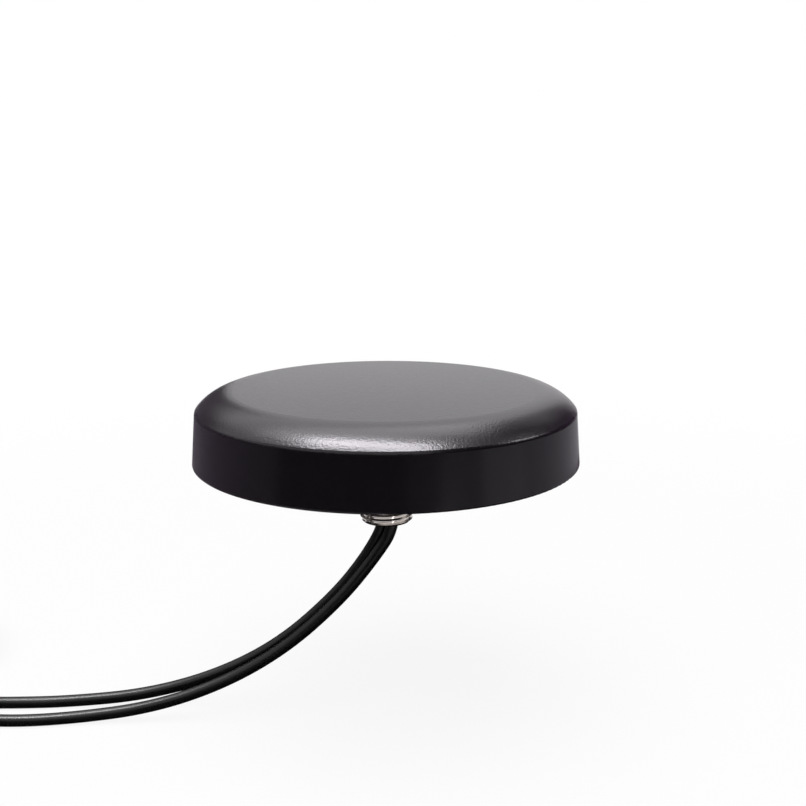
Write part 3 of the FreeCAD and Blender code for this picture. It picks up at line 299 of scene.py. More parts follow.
CABLES = {
    "gnss": {
        "route": [
            (1.65, -1.20, EXIT_LEVEL),
            (2.30, -1.20, -14.50),
            (-3.05, -1.60, -22.80),
            (-10.70, -2.10, -32.40),
            (-23.30, -2.90, -43.90),
            (-38.20, -4.10, -52.40),
            (-55.00, -5.60, -57.70),
            (-73.00, -6.90, LYING),
            (-86.00, -8.50, LYING),
            (-96.00, -8.80, LOW_ROW),
            (-105.00, -8.80, LOW_ROW),
        ],
        "coil": (-118.0, -34.0),
        "turning": 1,
        "tail": [
            (-131.00, -8.80, HIGH_ROW),
            (-141.00, -8.80, HIGH_ROW),
            (-152.80, -13.80, -53.20),
            (-157.00, -27.50, PLUG_AXIS),
            (-157.00, -42.20, PLUG_AXIS),
        ],
    },
    "cell": {
        "route": [
            (0.15, 1.20, EXIT_LEVEL),
            (0.15, 1.20, -13.90),
            (-4.65, 1.30, -23.10),
            (-12.40, 1.50, -33.10),
            (-25.30, 1.90, -45.00),
            (-40.60, 2.30, -53.30),
            (-57.80, 2.20, -58.20),
            (-76.00, 1.40, LYING),
            (-88.00, 0.70, LYING),
            (-98.00, 0.80, LYING),
            (-107.50, 0.80, LOW_ROW),
            (-117.00, 0.80, LOW_ROW),
        ],
        "coil": (-130.0, 26.0),
        "turning": -1,
        "tail": [
            (-143.00, 0.80, HIGH_ROW),
            (-153.00, 0.80, HIGH_ROW),
            (-164.80, -4.20, -53.20),
            (-169.00, -17.90, PLUG_AXIS),
            (-169.00, -32.60, PLUG_AXIS),
        ],
    },
}

# %% [markdown]
# A cable winds flat spirals on top of one another: the first layer runs from the outside in, the
# next from the inside out, and so on, so that an even number of layers ends outside, on top.
# Each turn keeps one radius for most of its way and moves over by one cable in the last quarter.
# Twelve control points a turn are enough; they stand a little outside the line they draw, because
# this kind of spline cuts its corners. A real hand never lays the turns perfectly, so the points
# of the outer turns and the top layer stray inwards by a tenth of a millimetre or so.

# %% Coil of one cable
POINTS_A_TURN = 12
CORNER_CUT = (3.0 + math.cos(math.tau / POINTS_A_TURN)) / 4.0
TURNS = COIL_COLUMNS * COIL_ROWS
STRAY = 0.12
MOVE_FROM = 0.72
OUTER_COLUMN = COIL_COLUMNS - 1.5
TOP_ROW = COIL_ROWS - 1.5


def turn_place(turn):
    """Column and row of one turn, counted from the outside in on even rows."""
    turn = min(turn, TURNS - 1)
    row = turn // COIL_COLUMNS
    step = turn % COIL_COLUMNS
    column = step if row % 2 else COIL_COLUMNS - 1 - step
    return column, row


def coil_points(centre, turning, rng):
    """Control points of a whole coil, with a little stray on its outer turns and top layer."""
    points = []
    count = TURNS * POINTS_A_TURN
    inner_turn = COIL_MIDDLE - (COIL_COLUMNS - 1) / 2 * TURN_PITCH
    for index in range(-1, count + 1):
        part = (index + 0.5) / POINTS_A_TURN
        turn = max(0, min(TURNS - 1, math.floor(part)))
        column, row = turn_place(turn)
        next_column, next_row = turn_place(turn + 1)
        move = min(1.0, max(0.0, (part - turn - MOVE_FROM) / (1.0 - MOVE_FROM)))
        move = move * move * (3.0 - 2.0 * move)
        column += (next_column - column) * move
        row += (next_row - row) * move
        loose = STRAY if 2 < index < count - 3 else 0.0
        radius = inner_turn + column * TURN_PITCH
        radius -= abs(rng.gauss(0.0, loose)) * (column > OUTER_COLUMN)
        height = LOW_ROW + row * TURN_PITCH
        height -= abs(rng.gauss(0.0, loose)) * (row > TOP_ROW)
        angle = turning * (math.pi / 2 + part * math.tau)
        reach = radius / CORNER_CUT
        points.append((centre[0] + reach * math.cos(angle),
                       centre[1] + reach * math.sin(angle), height))
    return points


# %% [markdown]
# The whole cable is then one spline: route, coil and tail in a row. The order of the spline is set
# after its points, because Blender lowers it while there are too few of them. The round section
# has a depth of one, and each point's own radius makes it as thick as the jacket; the curve's
# bounding box grows by that radius, so it stays true.

# %% Build the cables
cable_pieces = {}
for prefix, facts in CABLES.items():
    rng = random.Random(prefix)
    points = facts["route"] + coil_points(facts["coil"], facts["turning"], rng) + facts["tail"]
    curve = bpy.data.curves.new(f"{prefix}_cable_line", "CURVE")
    curve.dimensions = "3D"
    curve.bevel_depth = 1.0
    curve.bevel_resolution = 6
    curve.resolution_u = 8
    curve.use_fill_caps = True
    spline = curve.splines.new("NURBS")
    spline.points.add(len(points) - 1)
    for target, point in zip(spline.points, points):
        target.co = (point[0] * MM, point[1] * MM, point[2] * MM, 1.0)
        target.radius = CABLE_RADIUS * MM
    spline.order_u = 3
    spline.use_endpoint_u = True
    piece = bpy.data.objects.new(f"{prefix}_cable_jacket", curve)
    bpy.context.collection.objects.link(piece)
    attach(piece, "antenna")
    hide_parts(f"{prefix}_cable", f"{prefix}_coil", f"{prefix}_tail")
    cable_pieces[prefix] = piece
    print(prefix, "cable", len(points), "points")

# %% [markdown]
# For each cable this gathers where it starts and what goes with it: its plug and the two straps
# round its coil. Nothing further is done with these here. Such antennas have three metres.

PLUG_WORDS = ["body", "nut", "ring", "insulator", "contact", "gasket", "ferrule", "sleeve"]

for prefix, piece in cable_pieces.items():
    start = [value * MM for value in CABLES[prefix]["route"][0]]
    carried = [NODES[f"{prefix}_plug_{word}"] for word in PLUG_WORDS]
    carried.append(NODES[f"{prefix}_straps"])

# %% [markdown]
# The stud is turned from brass and carries an M12 thread with a pitch of one millimetre. Its
# grooves show as dark lines below the base, so the thread is real here: one pitch of the profile,
# spun round the axis as a screw, cut off level at both ends, and sunk there for chamfer and
# run-out.

# %% Spin the thread
STUD_RADIUS = 6.0
ROOT_RADIUS = 5.42
PITCH = 1.0
STUD_TIP = -13.7
TIP_RADIUS = 5.4
NECK_RADIUS = 5.3
BORE_RADIUS = 4.2
THREAD_STEPS = 96
THREAD_TURNS = 17
GROOVE_AT_FRONT = -12.85
CREST_END = 0.125
FLOOR_FROM, FLOOR_TO = 0.46, 0.665
RUN_OUT_SLOPE = 1.2
SHARP_ANGLE = math.radians(28)

shape = bmesh.new()
profile = [(STUD_RADIUS, 0.0), (STUD_RADIUS, CREST_END), (ROOT_RADIUS, FLOOR_FROM),
           (ROOT_RADIUS, FLOOR_TO), (STUD_RADIUS, PITCH)]
lowest = GROOVE_AT_FRONT - (FLOOR_FROM + FLOOR_TO) / 2 - 2 * PITCH
points = [shape.verts.new((0.0, -radius * MM, (lowest + rise) * MM)) for radius, rise in profile]
edges = [shape.edges.new(pair) for pair in zip(points, points[1:])]
bmesh.ops.spin(shape, geom=points + edges, axis=(0, 0, 1), cent=(0, 0, 0),
               dvec=(0, 0, PITCH * MM / THREAD_STEPS), steps=THREAD_STEPS * THREAD_TURNS,
               angle=math.tau * THREAD_TURNS)
bmesh.ops.remove_doubles(shape, verts=shape.verts[:], dist=0.00001)


def cut_level(height, clear_above):
    """Cut the shape at a height and return the edges of the rim that this leaves."""
    cut = bmesh.ops.bisect_plane(shape, geom=shape.verts[:] + shape.edges[:] + shape.faces[:],
                                 plane_co=(0, 0, height * MM), plane_no=(0, 0, 1),
                                 clear_outer=clear_above, clear_inner=not clear_above)
    return [piece for piece in cut["geom_cut"] if isinstance(piece, bmesh.types.BMEdge)]


top_rim = cut_level(0.0, True)
tip_rim = cut_level(STUD_TIP, False)
for vert in shape.verts:
    height = vert.co.z / MM
    limit = min(STUD_RADIUS, TIP_RADIUS + height - STUD_TIP, NECK_RADIUS - RUN_OUT_SLOPE * height)
    radius = vert.co.xy.length / MM
    if radius > limit:
        vert.co.xy *= limit / radius
print("thread faces", len(shape.faces))

# %% [markdown]
# From the thread's upper rim the outside is drawn on ring by ring: neck, relief, the seat for the
# sealing ring. From the tip the bore goes up and widens for the head of the grommet. Both ends meet
# in the flange, which has two flats and three screw holes.

# %% Neck, bore and flange
def ring_on(rim, radius, height):
    """Extrude a rim to a new radius and height, and return the new rim's edges."""
    made = bmesh.ops.extrude_edge_only(shape, edges=rim)["geom"]
    for vert in (item for item in made if isinstance(item, bmesh.types.BMVert)):
        vert.co.xy = vert.co.xy.normalized() * radius * MM
        vert.co.z = height * MM
    return [item for item in made if isinstance(item, bmesh.types.BMEdge) and item.is_boundary]


SEAT = 3.8
FLANGE_TOP = 6.0
FLANGE_RADIUS = 12.0
FLANGE_HALF_WIDTH = 10.8
SCREW_CIRCLE = 9.95
SCREW_HOLE = 1.3
NECK_TOP, COLLAR_FROM = 1.2, 1.9
RING_IN, RING_OUT, RING_TOP = 6.7, 8.1, 4.8
SHELF, SHELF_RADIUS = 3.0, 5.0

outside = top_rim
for radius, height in [(NECK_RADIUS, NECK_TOP), (STUD_RADIUS, COLLAR_FROM), (STUD_RADIUS, SEAT),
                       (RING_IN, SEAT), (RING_IN, RING_TOP), (RING_OUT, RING_TOP),
                       (RING_OUT, SEAT)]:
    outside = ring_on(outside, radius, height)
inside = tip_rim
for radius, height in [(BORE_RADIUS, STUD_TIP), (BORE_RADIUS, SHELF), (SHELF_RADIUS, SHELF),
                       (SHELF_RADIUS, FLANGE_TOP)]:
    inside = ring_on(inside, radius, height)

flange_rim = bmesh.ops.create_circle(shape, segments=96, radius=FLANGE_RADIUS * MM,
                                     matrix=Matrix.Translation((0, 0, SEAT * MM)))["verts"]
for vert in flange_rim:
    vert.co.x = max(-FLANGE_HALF_WIDTH * MM, min(FLANGE_HALF_WIDTH * MM, vert.co.x))
low_rims = [flange_rim]
for angle in (90, 210, 330):
    turn = Matrix.Rotation(math.radians(angle), 4, "Z")
    spot = turn @ Matrix.Translation((SCREW_CIRCLE * MM, 0, SEAT * MM))
    low_rims.append(bmesh.ops.create_circle(shape, segments=24, radius=SCREW_HOLE * MM,
                                            matrix=spot)["verts"])
low_edges, high_edges = [], []
for rim in low_rims:
    edges = list({edge for vert in rim for edge in vert.link_edges})
    made = bmesh.ops.extrude_edge_only(shape, edges=edges)["geom"]
    risen = [item for item in made if isinstance(item, bmesh.types.BMVert)]
    bmesh.ops.translate(shape, verts=risen, vec=(0, 0, (FLANGE_TOP - SEAT) * MM))
    low_edges += edges
    high_edges += [item for item in made
                   if isinstance(item, bmesh.types.BMEdge) and item.verts[0] in risen
                   and item.verts[1] in risen]
bmesh.ops.triangle_fill(shape, edges=low_edges + outside, use_beauty=True)
bmesh.ops.triangle_fill(shape, edges=high_edges + inside, use_beauty=True)
bmesh.ops.remove_doubles(shape, verts=shape.verts[:], dist=0.000001)
bmesh.ops.recalc_face_normals(shape, faces=shape.faces[:])
open_edges = sum(not edge.is_manifold for edge in shape.edges)
mesh = bpy.data.meshes.new("threaded_stud_turned")
shape.to_mesh(mesh)
print("stud volume", round(shape.calc_volume() * 1e9), "mm3, open edges", open_edges)
shape.free()
mesh.shade_smooth()
mesh.set_sharp_from_angle(angle=SHARP_ANGLE)
stud = bpy.data.objects.new("threaded_stud_turned", mesh)
bpy.context.collection.objects.link(stud)
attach(stud, "antenna")
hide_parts("threaded_stud")

# %% [markdown]
# The coupling nuts screw onto a socket, so their bores carry a fine thread of 36 turns to the inch.
# One triangle, spun about the plug's axis as a screw, makes the ridge. Its foot stands a little in
# the wall of the bore, and the piece turns with its nut.

# %% Threads in the coupling nuts
NUT_PITCH = 25.4 / 36.0
NUT_BORE = 3.0
RIDGE_FOOT, RIDGE_HEIGHT, RIDGE_WIDTH = 0.06, 0.26, 0.54
RIDGE = [(NUT_BORE + RIDGE_FOOT, 0.0), (NUT_BORE - RIDGE_HEIGHT, RIDGE_WIDTH / 2),
         (NUT_BORE + RIDGE_FOOT, RIDGE_WIDTH)]
RIDGE_FROM_MOUTH = 0.4
RIDGE_TURNS = 4
RIDGE_STEPS = 48
PLUG_AXIS_X = {"gnss": -157.0, "cell": -169.0}

nut_threads = {}
for prefix, axis_x in PLUG_AXIS_X.items():
    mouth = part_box(f"{prefix}_plug_nut")[0][1] / MM
    shape = bmesh.new()
    corners = [shape.verts.new(((axis_x + radius) * MM, (mouth + RIDGE_FROM_MOUTH + rise) * MM,
                                PLUG_AXIS * MM)) for radius, rise in RIDGE]
    edges = [shape.edges.new(pair) for pair in zip(corners, corners[1:] + corners[:1])]
    bmesh.ops.spin(shape, geom=corners + edges, axis=(0, 1, 0),
                   cent=(axis_x * MM, 0, PLUG_AXIS * MM), dvec=(0, NUT_PITCH * MM / RIDGE_STEPS, 0),
                   steps=RIDGE_STEPS * RIDGE_TURNS, angle=math.tau * RIDGE_TURNS)
    ends = [edge for edge in shape.edges if edge.is_boundary]
    bmesh.ops.holes_fill(shape, edges=ends, sides=3)
    bmesh.ops.recalc_face_normals(shape, faces=shape.faces[:])
    open_edges = sum(not edge.is_manifold for edge in shape.edges)
    mesh = bpy.data.meshes.new(f"{prefix}_nut_thread")
    shape.to_mesh(mesh)
    shape.free()
    mesh.shade_smooth()
    mesh.set_sharp_from_angle(angle=SHARP_ANGLE)
    ridge = bpy.data.objects.new(f"{prefix}_nut_thread", mesh)
    bpy.context.collection.objects.link(ridge)
    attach(ridge, f"{prefix}_nut")
    nut_threads[prefix] = ridge
    print(prefix, "nut thread faces", len(mesh.polygons), "open edges", open_edges)

# %% [markdown]
# Every surface gets a finish made of nodes. This first helper makes a material with one shader,
# whose constant values are set on the shader's own sockets.

# %% Material helper
def finish_material(name, color, **sockets):
    """A material of one shader; further sockets are given by name, with _ for a space."""
    material = bpy.data.materials.new(name)
    material.use_nodes = True
    shader = material.node_tree.nodes["Principled BSDF"]
    shader.inputs["Base Color"].default_value = (*color, 1.0)
    for key, value in sockets.items():
        shader.inputs[key.replace("_", " ")].default_value = value
    return material


def dress(material, *names):
    """Give the material to the CAD pieces of these names."""
    for name in names:
        NODES[name].data.materials.clear()
        NODES[name].data.materials.append(material)

# %% [markdown]
# Effects that several materials share are node groups with named sockets. Each one puts out only a
# value or a mask, so the shader itself stays in the material. They read object coordinates, which
# are metres here, so a scale of 2000 gives grains of half a millimetre.

# %% Node group helpers
def effect(name, inputs, outputs):
    """An empty group with its sockets; also its two end nodes and the place on the object."""
    group = bpy.data.node_groups.new(name, "ShaderNodeTree")
    for label, value in inputs.items():
        socket = group.interface.new_socket(label, in_out="INPUT", socket_type="NodeSocketFloat")
        socket.default_value = value
    for label in outputs:
        group.interface.new_socket(label, in_out="OUTPUT", socket_type="NodeSocketFloat")
    start = node(group, "NodeGroupInput")
    end = node(group, "NodeGroupOutput")
    place = node(group, "ShaderNodeTexCoord")
    print("effect", name)
    return group, start, end, place.outputs["Object"]


def math_node(tree, operation, first, second=None, third=None):
    """One step of arithmetic on numbers or on other nodes' outputs."""
    made = node(tree, "ShaderNodeMath", operation=operation)
    for index, value in enumerate((first, second, third)):
        if value is None:
            continue
        if isinstance(value, (int, float)):
            made.inputs[index].default_value = value
        else:
            tree.links.new(value, made.inputs[index])
    return made.outputs[0]


def noise(tree, vector, scale, detail=2.0):
    """Soft noise at a place, with a scale that is a number or another node's output."""
    made = node(tree, "ShaderNodeTexNoise", inputs={"Detail": detail})
    tree.links.new(vector, made.inputs["Vector"])
    if isinstance(scale, (int, float)):
        made.inputs["Scale"].default_value = scale
    else:
        tree.links.new(scale, made.inputs["Scale"])
    return made.outputs["Fac"]


# %% [markdown]
# The mould's roof was spark eroded and its side wall polished, so the grain of the plastic has a
# height limit. Above it, fine noise gives the relief, and the roughness varies a little.

# %% Effect: spark-eroded grain above a height
grain, start, end, place = effect("SparkGrain", {"Scale": 2200.0, "From Height": -1.0,
                                                 "Coarse": 0.31, "Fine": 0.24},
                                  ["Height", "Roughness"])
split = node(grain, "ShaderNodeSeparateXYZ")
grain.links.new(place, split.inputs[0])
over = math_node(grain, "SUBTRACT", split.outputs["Z"], start.outputs["From Height"])
mask = node(grain, "ShaderNodeMapRange", interpolation_type="SMOOTHSTEP",
            inputs={"From Min": -0.0004, "From Max": 0.0006})
grain.links.new(over, mask.inputs["Value"])
relief = noise(grain, place, start.outputs["Scale"], 1.0)
grain.links.new(math_node(grain, "MULTIPLY", relief, mask.outputs["Result"]), end.inputs["Height"])
step = math_node(grain, "SUBTRACT", start.outputs["Coarse"], start.outputs["Fine"])
patchy = math_node(grain, "MULTIPLY_ADD", noise(grain, place, 900.0), 0.05, -0.025)
level = math_node(grain, "MULTIPLY_ADD", mask.outputs["Result"], step, start.outputs["Fine"])
grain.links.new(math_node(grain, "MULTIPLY_ADD", patchy, mask.outputs["Result"], level),
                end.inputs["Roughness"])

# %% [markdown]
# Fingers and packing leave large dull clouds and a few fine scratches in any glossy surface. Two
# noises make them, one wide and one stretched thin, and both only change the roughness.

# %% Effect: marks of handling
handling, start, end, place = effect("Handling", {"Scale": 60.0, "Low": 0.3, "High": 0.45},
                                     ["Roughness"])
cloud = noise(handling, place, start.outputs["Scale"], 4.0)
stretch = node(handling, "ShaderNodeMapping", inputs={"Scale": (1.0, 9.0, 14.0),
                                                      "Rotation": (0.4, 0.2, 0.6)})
handling.links.new(place, stretch.inputs["Vector"])
scratch = noise(handling, stretch.outputs[0], 300.0, 3.0)
thin = math_node(handling, "GREATER_THAN", scratch, 0.68)
blend = math_node(handling, "MULTIPLY_ADD", thin, 0.25, cloud)
limits = node(handling, "ShaderNodeMapRange", inputs={"From Min": 0.35, "From Max": 0.75})
handling.links.new(blend, limits.inputs["Value"])
handling.links.new(start.outputs["Low"], limits.inputs["To Min"])
handling.links.new(start.outputs["High"], limits.inputs["To Max"])
handling.links.new(limits.outputs["Result"], end.inputs["Roughness"])

# %% [markdown]
# A lathe's feed leaves fine rings round the axis. Noise along one line makes them, and two shares
# say which way this line runs: upwards for stud and screws, along the bench for the plugs.

# %% Effect: rings left by a turning tool
turned, start, end, place = effect("TurnedRings", {"Along Y": 0.0, "Along Z": 1.0}, ["Height"])
split = node(turned, "ShaderNodeSeparateXYZ")
turned.links.new(place, split.inputs[0])
along = math_node(turned, "MULTIPLY", split.outputs["Y"], start.outputs["Along Y"])
along = math_node(turned, "MULTIPLY_ADD", split.outputs["Z"], start.outputs["Along Z"], along)
rings = node(turned, "ShaderNodeTexNoise", noise_dimensions="1D",
             inputs={"Scale": 9000.0, "Detail": 2.0})
turned.links.new(along, rings.inputs["W"])
turned.links.new(rings.outputs["Fac"], end.inputs["Height"])

# %% [markdown]
# Rubber, foam, boards and jackets aren't quite smooth. One relief serves them all: soft noise,
# with a share of round cells for foam that was cut open.

# %% Effect: fine relief of rubber, foam, boards and jackets
relief_group, start, end, place = effect("FineRelief", {"Scale": 1500.0, "Cells": 0.0},
                                         ["Height"])
soft = noise(relief_group, place, start.outputs["Scale"], 3.0)
cells = node(relief_group, "ShaderNodeTexVoronoi")
relief_group.links.new(place, cells.inputs["Vector"])
relief_group.links.new(start.outputs["Scale"], cells.inputs["Scale"])
extra = math_node(relief_group, "MULTIPLY", cells.outputs["Distance"], start.outputs["Cells"])
relief_group.links.new(math_node(relief_group, "ADD", soft, extra), end.inputs["Height"])

# %% [markdown]
# Bloom on rubber and the pattern on tinned sheet are soft clouds between two shades. This effect
# puts out where the one shade ends and the other begins; each material chooses its own shades.

# %% Effect: colour mask in soft clouds
clouds, start, end, place = effect("Clouds", {"Scale": 120.0}, ["Mask"])
limits = node(clouds, "ShaderNodeMapRange", inputs={"From Min": 0.35, "From Max": 0.65})
clouds.links.new(noise(clouds, place, start.outputs["Scale"], 3.0), limits.inputs["Value"])
clouds.links.new(limits.outputs["Result"], end.inputs["Mask"])

# %% [markdown]
# These helpers join an effect to a material: a bump of a given depth in metres, a roughness between
# two values, or a colour that varies between two shades.

# %% Join effects to a material
def use_effect(material, group, **inputs):
    """Put an effect into a material; its inputs are given by name, with _ for a space."""
    made = node(material.node_tree, "ShaderNodeGroup", node_tree=group)
    for key, value in inputs.items():
        made.inputs[key.replace("_", " ")].default_value = value
    return made


def drive(material, socket, output):
    """Let a node's output set one socket of the material's shader."""
    tree = material.node_tree
    tree.links.new(output, tree.nodes["Principled BSDF"].inputs[socket])


def emboss(material, source, depth, output="Height"):
    """A bump of `depth` metres from one output of a node."""
    bump = node(material.node_tree, "ShaderNodeBump", inputs={"Distance": depth, "Strength": 1.0})
    material.node_tree.links.new(source.outputs[output], bump.inputs["Height"])
    drive(material, "Normal", bump.outputs[0])


def wear(material, low, high, scale=60.0):
    """Roughness between two values, in the pattern that handling leaves."""
    source = use_effect(material, handling, Scale=scale, Low=low, High=high)
    drive(material, "Roughness", source.outputs["Roughness"])


def shade(material, first, second, mask):
    """Colour from `first` to `second` where the mask output goes from 0 to 1."""
    tree = material.node_tree
    mix = node(tree, "ShaderNodeMix", data_type="RGBA")
    mix.inputs[6].default_value = (*first, 1.0)
    mix.inputs[7].default_value = (*second, 1.0)
    tree.links.new(mask, mix.inputs["Factor"])
    drive(material, "Base Color", mix.outputs[2])


# %% [markdown]
# The radome is black plastic that lets radio waves pass. Its roof has a fine spark-eroded grain
# that sparkles in the bright band; the side wall is smoother and therefore looks darker. The grain
# stops at the crease. The base below is the same plastic in a plainer, duller finish.

# %% Plastics of the housing
CREASE = 12.83 * MM
radome_finish = finish_material("radome_plastic", (0.0040, 0.0036, 0.0041), IOR=1.45,
                                Specular_Tint=(0.965, 0.925, 0.985, 1.0), Sheen_Weight=0.045,
                                Sheen_Tint=(0.90, 0.40, 1.0, 1.0))
source = use_effect(radome_finish, grain, Scale=2200.0, From_Height=CREASE, Coarse=0.29, Fine=0.20)
drive(radome_finish, "Roughness", source.outputs["Roughness"])
emboss(radome_finish, source, 0.000044)
dress(radome_finish, "radome")

base_finish = finish_material("base_plastic", (0.008, 0.008, 0.009))
emboss(base_finish, use_effect(base_finish, relief_group, Scale=1800.0), 0.000020)
wear(base_finish, 0.38, 0.55)
dress(base_finish, "base_plate")

nylon = finish_material("nylon", (0.55, 0.52, 0.46), Subsurface_Weight=0.15)
emboss(nylon, use_effect(nylon, relief_group, Scale=1200.0), 0.000015)
wear(nylon, 0.35, 0.5)
dress(nylon, "lead_tie")

# %% [markdown]
# Soft parts: black rubber for seal, ring and grommet, with the faint bloom that rubber gets;
# closed-cell foam for the gasket under the base and the pad, with open cells where it was cut.

# %% Rubber and foam
rubber = finish_material("seal_rubber", (0.012, 0.012, 0.013))
emboss(rubber, use_effect(rubber, relief_group, Scale=2500.0), 0.000010)
wear(rubber, 0.45, 0.7, 150.0)
shade(rubber, (0.010, 0.010, 0.011), (0.024, 0.024, 0.025),
      use_effect(rubber, clouds, Scale=220.0).outputs["Mask"])
dress(rubber, "housing_seal", "stud_seal", "cable_grommet")

foam = finish_material("foam", (0.02, 0.02, 0.021), Sheen_Weight=0.2, Roughness=0.9)
emboss(foam, use_effect(foam, relief_group, Scale=2200.0, Cells=1.5), 0.00012)
shade(foam, (0.016, 0.016, 0.017), (0.035, 0.035, 0.036),
      use_effect(foam, clouds, Scale=900.0).outputs["Mask"])
dress(foam, "mounting_gasket", "module_foam")

red_rubber = finish_material("red_rubber", (0.36, 0.035, 0.02))
emboss(red_rubber, use_effect(red_rubber, relief_group, Scale=2500.0), 0.000010)
wear(red_rubber, 0.4, 0.6, 150.0)
dress(red_rubber, "gnss_plug_gasket", "cell_plug_gasket")

# %% [markdown]
# Metals: the stud is brass turned on a lathe and nickel plated, a warm grey. The screws are
# stainless steel. Radiator and can are tinned sheet with soft clouds. The plugs are gold plated
# all over; their turning marks run round the other axis, since the plugs lie on the bench.

# %% Metals
nickel = finish_material("nickel", (0.62, 0.575, 0.55), Metallic=1.0)
emboss(nickel, use_effect(nickel, turned, Along_Z=1.0), 0.000002)
wear(nickel, 0.10, 0.20, 200.0)
stud.data.materials.append(nickel)

steel = finish_material("steel_screw", (0.55, 0.55, 0.54), Metallic=1.0)
emboss(steel, use_effect(steel, turned, Along_Z=1.0), 0.000004)
wear(steel, 0.22, 0.38, 250.0)
dress(steel, "housing_screws", "stud_screws", "board_screws")

tin = finish_material("tin_plate", (0.60, 0.60, 0.58), Metallic=1.0)
emboss(tin, use_effect(tin, relief_group, Scale=700.0), 0.000006)
wear(tin, 0.25, 0.45, 180.0)
shade(tin, (0.58, 0.58, 0.56), (0.68, 0.68, 0.67),
      use_effect(tin, clouds, Scale=260.0).outputs["Mask"])
dress(tin, "cell_radiator", "shield_can", "patch_pin")

gold = finish_material("gold", (0.86, 0.62, 0.27), Metallic=1.0)
emboss(gold, use_effect(gold, turned, Along_Y=1.0, Along_Z=0.0), 0.000003)
wear(gold, 0.16, 0.28, 300.0)
bronze = finish_material("bronze", (0.62, 0.38, 0.20), Metallic=1.0)
emboss(bronze, use_effect(bronze, turned, Along_Y=1.0, Along_Z=0.0), 0.000003)
wear(bronze, 0.25, 0.4, 300.0)
for prefix in CABLES:
    dress(gold, *[f"{prefix}_plug_{word}" for word in ("body", "nut", "contact", "ferrule")])
    dress(bronze, f"{prefix}_plug_ring")
    nut_threads[prefix].data.materials.append(gold)

# %% [markdown]
# The boards are glass laminate under green solder mask, with tracks that show as raised, lighter
# lines. The patch is a fired ceramic block whose top carries a square silver layer, drawn by the
# material from the place alone, since it is only microns thick.

# %% Boards and parts on them
board = finish_material("board_green", (0.01, 0.12, 0.04), Coat_Weight=0.3)
tracks = node(board.node_tree, "ShaderNodeTexBrick", offset=0.35,
              inputs={"Scale": 160.0, "Mortar Size": 0.045, "Mortar Smooth": 0.1,
                      "Brick Width": 0.9, "Row Height": 0.45})
spot = node(board.node_tree, "ShaderNodeTexCoord")
board.node_tree.links.new(spot.outputs["Object"], tracks.inputs["Vector"])
shade(board, (0.006, 0.085, 0.03), (0.02, 0.20, 0.07), tracks.outputs["Fac"])
emboss(board, tracks, 0.00004, "Fac")
wear(board, 0.25, 0.4)
dress(board, "carrier_board", "patch_board")

chip = finish_material("chip_black", (0.012, 0.012, 0.012))
emboss(chip, use_effect(chip, relief_group, Scale=6000.0), 0.000012)
wear(chip, 0.4, 0.6, 400.0)
dress(chip, "amplifier_parts")

block = NODES["patch_ceramic"]
corners = [block.matrix_world @ Vector(corner) for corner in block.bound_box]
block_low = Vector([min(corner[axis] for corner in corners) for axis in range(3)])
block_high = Vector([max(corner[axis] for corner in corners) for axis in range(3)])
block_middle = (block_low + block_high) / 2
SILVER_MARGIN = 1.6 * MM
LAYER_DEPTH = 0.1 * MM
ceramic = finish_material("ceramic", (0.55, 0.46, 0.36))
tree = ceramic.node_tree
spot = node(tree, "ShaderNodeTexCoord")
from_middle = node(tree, "ShaderNodeVectorMath", operation="SUBTRACT")
from_middle.inputs[1].default_value = (block_middle.x, block_middle.y, block_high.z)
tree.links.new(spot.outputs["Object"], from_middle.inputs[0])
size = node(tree, "ShaderNodeVectorMath", operation="ABSOLUTE")
tree.links.new(from_middle.outputs[0], size.inputs[0])
split = node(tree, "ShaderNodeSeparateXYZ")
tree.links.new(size.outputs[0], split.inputs[0])
reach = math_node(tree, "MAXIMUM", split.outputs["X"], split.outputs["Y"])
inside = math_node(tree, "LESS_THAN", reach, (block_high.x - block_low.x) / 2 - SILVER_MARGIN)
on_top = math_node(tree, "LESS_THAN", split.outputs["Z"], LAYER_DEPTH)
silver = math_node(tree, "MULTIPLY", inside, on_top)
shade(ceramic, (0.52, 0.43, 0.33), (0.80, 0.79, 0.76), silver)
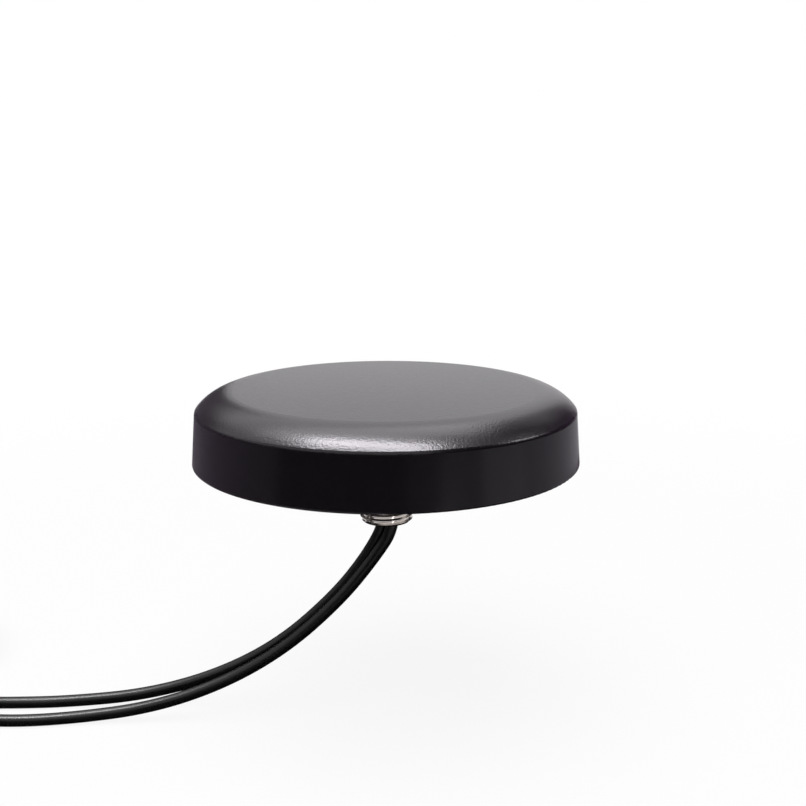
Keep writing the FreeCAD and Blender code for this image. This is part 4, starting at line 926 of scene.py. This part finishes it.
drive(ceramic, "Metallic", silver)
emboss(ceramic, use_effect(ceramic, relief_group, Scale=1600.0), 0.000010)
wear(ceramic, 0.35, 0.5, 200.0)
dress(ceramic, "patch_ceramic")
print("silver layer", round(((block_high.x - block_low.x) - 2 * SILVER_MARGIN) / MM, 1), "mm wide")

white_plastic = finish_material("white_plastic", (0.82, 0.81, 0.78), Subsurface_Weight=0.2)
emboss(white_plastic, use_effect(white_plastic, relief_group, Scale=1500.0), 0.000008)
wear(white_plastic, 0.3, 0.45, 300.0)
dress(white_plastic, "gnss_plug_insulator", "cell_plug_insulator")

# %% [markdown]
# The cable jackets are black PVC, extruded and slightly uneven, with a soft streak where they
# mirror the studio. The sleeves over the crimps are shrunk on and follow what lies below them.
# The straps round the coils are woven hook-and-loop tape.

# %% Jackets, sleeves and straps
jacket = finish_material("cable_black", (0.004, 0.004, 0.004), Specular_IOR_Level=0.32)
emboss(jacket, use_effect(jacket, relief_group, Scale=500.0), 0.000025)
wear(jacket, 0.26, 0.38, 90.0)
for piece in cable_pieces.values():
    piece.data.materials.append(jacket)
dress(jacket, "gnss_lead", "cell_lead")

sleeve = finish_material("sleeve_black", (0.010, 0.010, 0.010))
emboss(sleeve, use_effect(sleeve, relief_group, Scale=420.0), 0.00006)
wear(sleeve, 0.35, 0.5, 150.0)

strap = finish_material("strap_black", (0.015, 0.015, 0.016), Sheen_Weight=0.3, Roughness=0.8)
weave = node(strap.node_tree, "ShaderNodeTexWave", bands_direction="DIAGONAL",
             inputs={"Scale": 320.0, "Distortion": 1.5, "Detail": 2.0, "Detail Scale": 4.0})
spot = node(strap.node_tree, "ShaderNodeTexCoord")
strap.node_tree.links.new(spot.outputs["Object"], weave.inputs["Vector"])
shade(strap, (0.010, 0.010, 0.011), (0.030, 0.030, 0.032), weave.outputs["Fac"])
emboss(strap, weave, 0.00015, "Fac")
for prefix in CABLES:
    dress(sleeve, f"{prefix}_plug_sleeve")
    dress(strap, f"{prefix}_straps")
